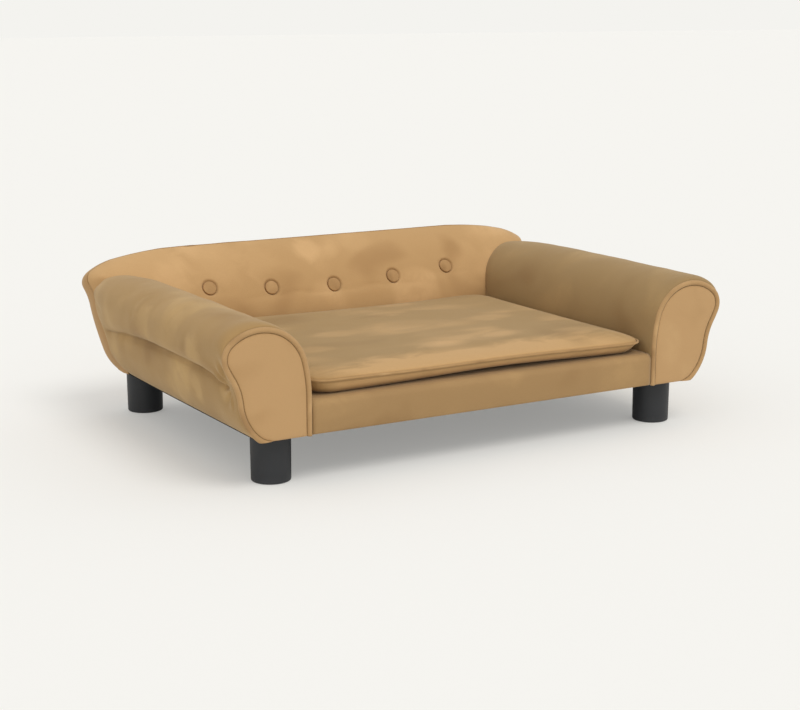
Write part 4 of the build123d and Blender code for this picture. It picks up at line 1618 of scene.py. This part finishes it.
@dataclass(frozen=True)
class Hardware:
    """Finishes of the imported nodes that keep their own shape."""

    def build(self) -> list[bpy.types.Object]:
        """Dresses the timber, feet, fixings and zip."""
        pine_pale, pine_dark = from_srgb(226, 198, 152), from_srgb(184, 142, 92)
        birch_pale, birch_dark = from_srgb(216, 188, 146), from_srgb(160, 122, 80)
        pine_x = Timber("pine_across", pine_pale, pine_dark, "X").paint()
        pine_y = Timber("pine_lengthwise", pine_pale, pine_dark, "Y").paint()
        birch = Timber("birch_plywood", birch_pale, birch_dark, "X", layers=True).paint()
        zinc = Metal("zinc_plate", (0.62, 0.63, 0.63), (0.42, 0.43, 0.44), 0.32).paint()
        foot = Satin().paint()
        felt = Woven("glide_felt", (0.030, 0.029, 0.028), (0.070, 0.068, 0.066), 2200.0).paint()
        twine = Woven("tufting_twine", (0.50, 0.46, 0.36), (0.66, 0.61, 0.50), 5200.0, 0.7).paint()
        tape = Woven("zip_tape", from_srgb(120, 88, 56), from_srgb(150, 114, 76), 4200.0).paint()
        brass = Metal("zip_antique", (0.36, 0.31, 0.23), (0.20, 0.17, 0.13), 0.34).paint()
        wearing = {
            pine_x: ["front_rail", "rear_rail", "back_top_batten"],
            pine_y: ["left_side_rail", "right_side_rail", "left_inner_rail", "right_inner_rail", "centre_rail"],
            birch: ["seat_board", "back_board", "back_uprights"],
            zinc: ["foot_studs", "foot_inserts", "dust_cover_staples", "arm_screws", "back_screws"],
            foot: ["foot_front_right", "foot_front_left", "foot_rear_right", "foot_rear_left"],
            felt: ["foot_glides"],
            twine: ["button_ties"],
            tape: ["zip_tape"],
            brass: ["zip_slider", "zip_pull"],
        }
        wearing[pine_y] += ["foot_blocks", "left_arm_battens", "right_arm_battens"]
        for side in Side:
            wearing[birch] += [f"{side.word}_arm_{part}" for part in ("front_board", "rear_board", "facing_board")]
        dressed = []
        for paint, names in wearing.items():
            for name in names:
                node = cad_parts[name]
                for place in node.material_slots:
                    place.material = paint.material
                if not node.material_slots:
                    node.data.materials.append(paint.material)
                dressed.append(node)
        return dressed


@dataclass(frozen=True)
class Studio:
    """Pale floor, soft light and the photograph's camera."""

    eye: Point = (-1.3684, -2.3472, 0.6897)
    azimuth: float = -30.457
    elevation: float = 12.188
    focal_pixels: float = 1633.74
    pale: Colour = from_srgb(244, 243, 239)
    sky: float = 0.72
    key: float = 1.05
    fill: float = 0.20
    lift: float = 0.30

    def camera(self) -> None:
        """Sets the camera at the photograph's place."""
        data = bpy.data.cameras.new("camera")
        data.sensor_width = 36
        data.lens = self.focal_pixels / PHOTO_WIDTH * data.sensor_width
        data.clip_start = 0.05
        data.clip_end = 100
        made = bpy.data.objects.new("camera", data)
        bpy.context.scene.collection.objects.link(made)
        a, e = math.radians(self.azimuth), math.radians(self.elevation)
        back = Vector((math.sin(a) * math.cos(e), -math.cos(a) * math.cos(e), math.sin(e)))
        made.location = self.eye
        made.rotation_mode = "QUATERNION"
        made.rotation_quaternion = (-back).to_track_quat("-Z", "Y")
        bpy.context.scene.camera = made

    def sun(
        self, name: str, strength: float, spread: float, azimuth: float, height: float, tone: Colour
    ) -> None:
        """Adds a soft distant lamp.

        Args:
            name: Name of the lamp.
            strength: Its strength.
            spread: Angle that it fills, in degrees.
            azimuth: Side that it stands on, as for a view.
            height: Angle above the floor.
            tone: Its colour.
        """
        data = bpy.data.lights.new(name, "SUN")
        data.energy = strength
        data.angle = math.radians(spread)
        data.color = tone
        made = bpy.data.objects.new(name, data)
        bpy.context.scene.collection.objects.link(made)
        a, e = math.radians(azimuth), math.radians(height)
        back = Vector((math.sin(a) * math.cos(e), -math.cos(a) * math.cos(e), math.sin(e)))
        made.rotation_mode = "QUATERNION"
        made.rotation_quaternion = (-back).to_track_quat("-Z", "Y")

    def world(self) -> None:
        """Even sky light, with the floor's pale colour where the camera sees it."""
        made = bpy.data.worlds.new("sky")
        made.use_nodes = True
        tree = made.node_tree
        tree.nodes.clear()
        output = tree.nodes.new("ShaderNodeOutputWorld")
        mix = tree.nodes.new("ShaderNodeMixShader")
        light = tree.nodes.new("ShaderNodeBackground")
        seen = tree.nodes.new("ShaderNodeBackground")
        ray = tree.nodes.new("ShaderNodeLightPath")
        light.inputs["Color"].default_value = (1, 1, 1, 1)
        light.inputs["Strength"].default_value = self.sky
        seen.inputs["Color"].default_value = (*self.pale, 1)
        seen_by = ray.outputs["Is Camera Ray"]
        for kind in ("Is Glossy Ray", "Is Transmission Ray"):
            either = tree.nodes.new("ShaderNodeMath")
            either.operation = "MAXIMUM"
            tree.links.new(seen_by, either.inputs[0])
            tree.links.new(ray.outputs[kind], either.inputs[1])
            seen_by = either.outputs[0]
        tree.links.new(seen_by, mix.inputs[0])
        tree.links.new(light.outputs[0], mix.inputs[1])
        tree.links.new(seen.outputs[0], mix.inputs[2])
        tree.links.new(mix.outputs[0], output.inputs["Surface"])
        bpy.context.scene.world = made

    def floor(self) -> None:
        """Wide pale floor."""
        bpy.ops.object.select_all(action="DESELECT")
        bpy.ops.mesh.primitive_plane_add(size=60, location=(0, 0, 0))
        made = bpy.context.active_object
        made.name = "floor"
        bpy.ops.object.transform_apply(location=True, rotation=True, scale=True)
        paint = Paint("floor_pale")
        cloud = paint.grain(paint.place(), 0.8, 2.0)
        tone = paint.blend(cloud * 0.1, self.pale, tuple(0.985 * c for c in self.pale))
        paint.set(Base_Color=tone, Roughness=0.9, Specular_IOR_Level=0.1)
        glow = paint.tree.nodes.new("ShaderNodeEmission")
        glow.inputs["Color"].default_value = (*self.pale, 1)
        mix = paint.tree.nodes.new("ShaderNodeMixShader")
        seen = paint.node("ShaderNodeLightPath", {}, {}, "Is Camera Ray") * self.lift
        paint.feed(mix.inputs[0], seen)
        paint.tree.links.new(paint.shader.outputs[0], mix.inputs[1])
        paint.tree.links.new(glow.outputs[0], mix.inputs[2])
        paint.tree.links.new(mix.outputs[0], paint.output.inputs["Surface"])
        paint.dress(made)

    def build(self) -> None:
        """Sets the whole stage."""
        self.camera()
        self.world()
        self.sun("key", self.key, 30.0, 12.0, 56.0, (1.0, 0.985, 0.96))
        self.sun("fill", self.fill, 60.0, -40.0, 30.0, (1.0, 0.99, 0.97))
        self.floor()
        bpy.context.scene.view_settings.view_transform = "Standard"


def main() -> None:
    """Builds the stage, then each sub-assembly."""
    logging.basicConfig(level=logging.INFO, format="%(message)s")
    Studio().build()
    back = Backrest()
    made: list[bpy.types.Object] = []
    for part in (back, Arm(back), Deck(), Cushion(), Underside(), Hardware()):
        pieces = part.build()
        made += pieces
        for piece in pieces:
            log.info("%s: %d faces", piece.name, len(piece.data.polygons))
    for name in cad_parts:
        if name not in {piece.name for piece in made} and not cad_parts[name].hide_render:
            log.warning("%s has no finish", name)


if __name__ == "__main__":
    main()
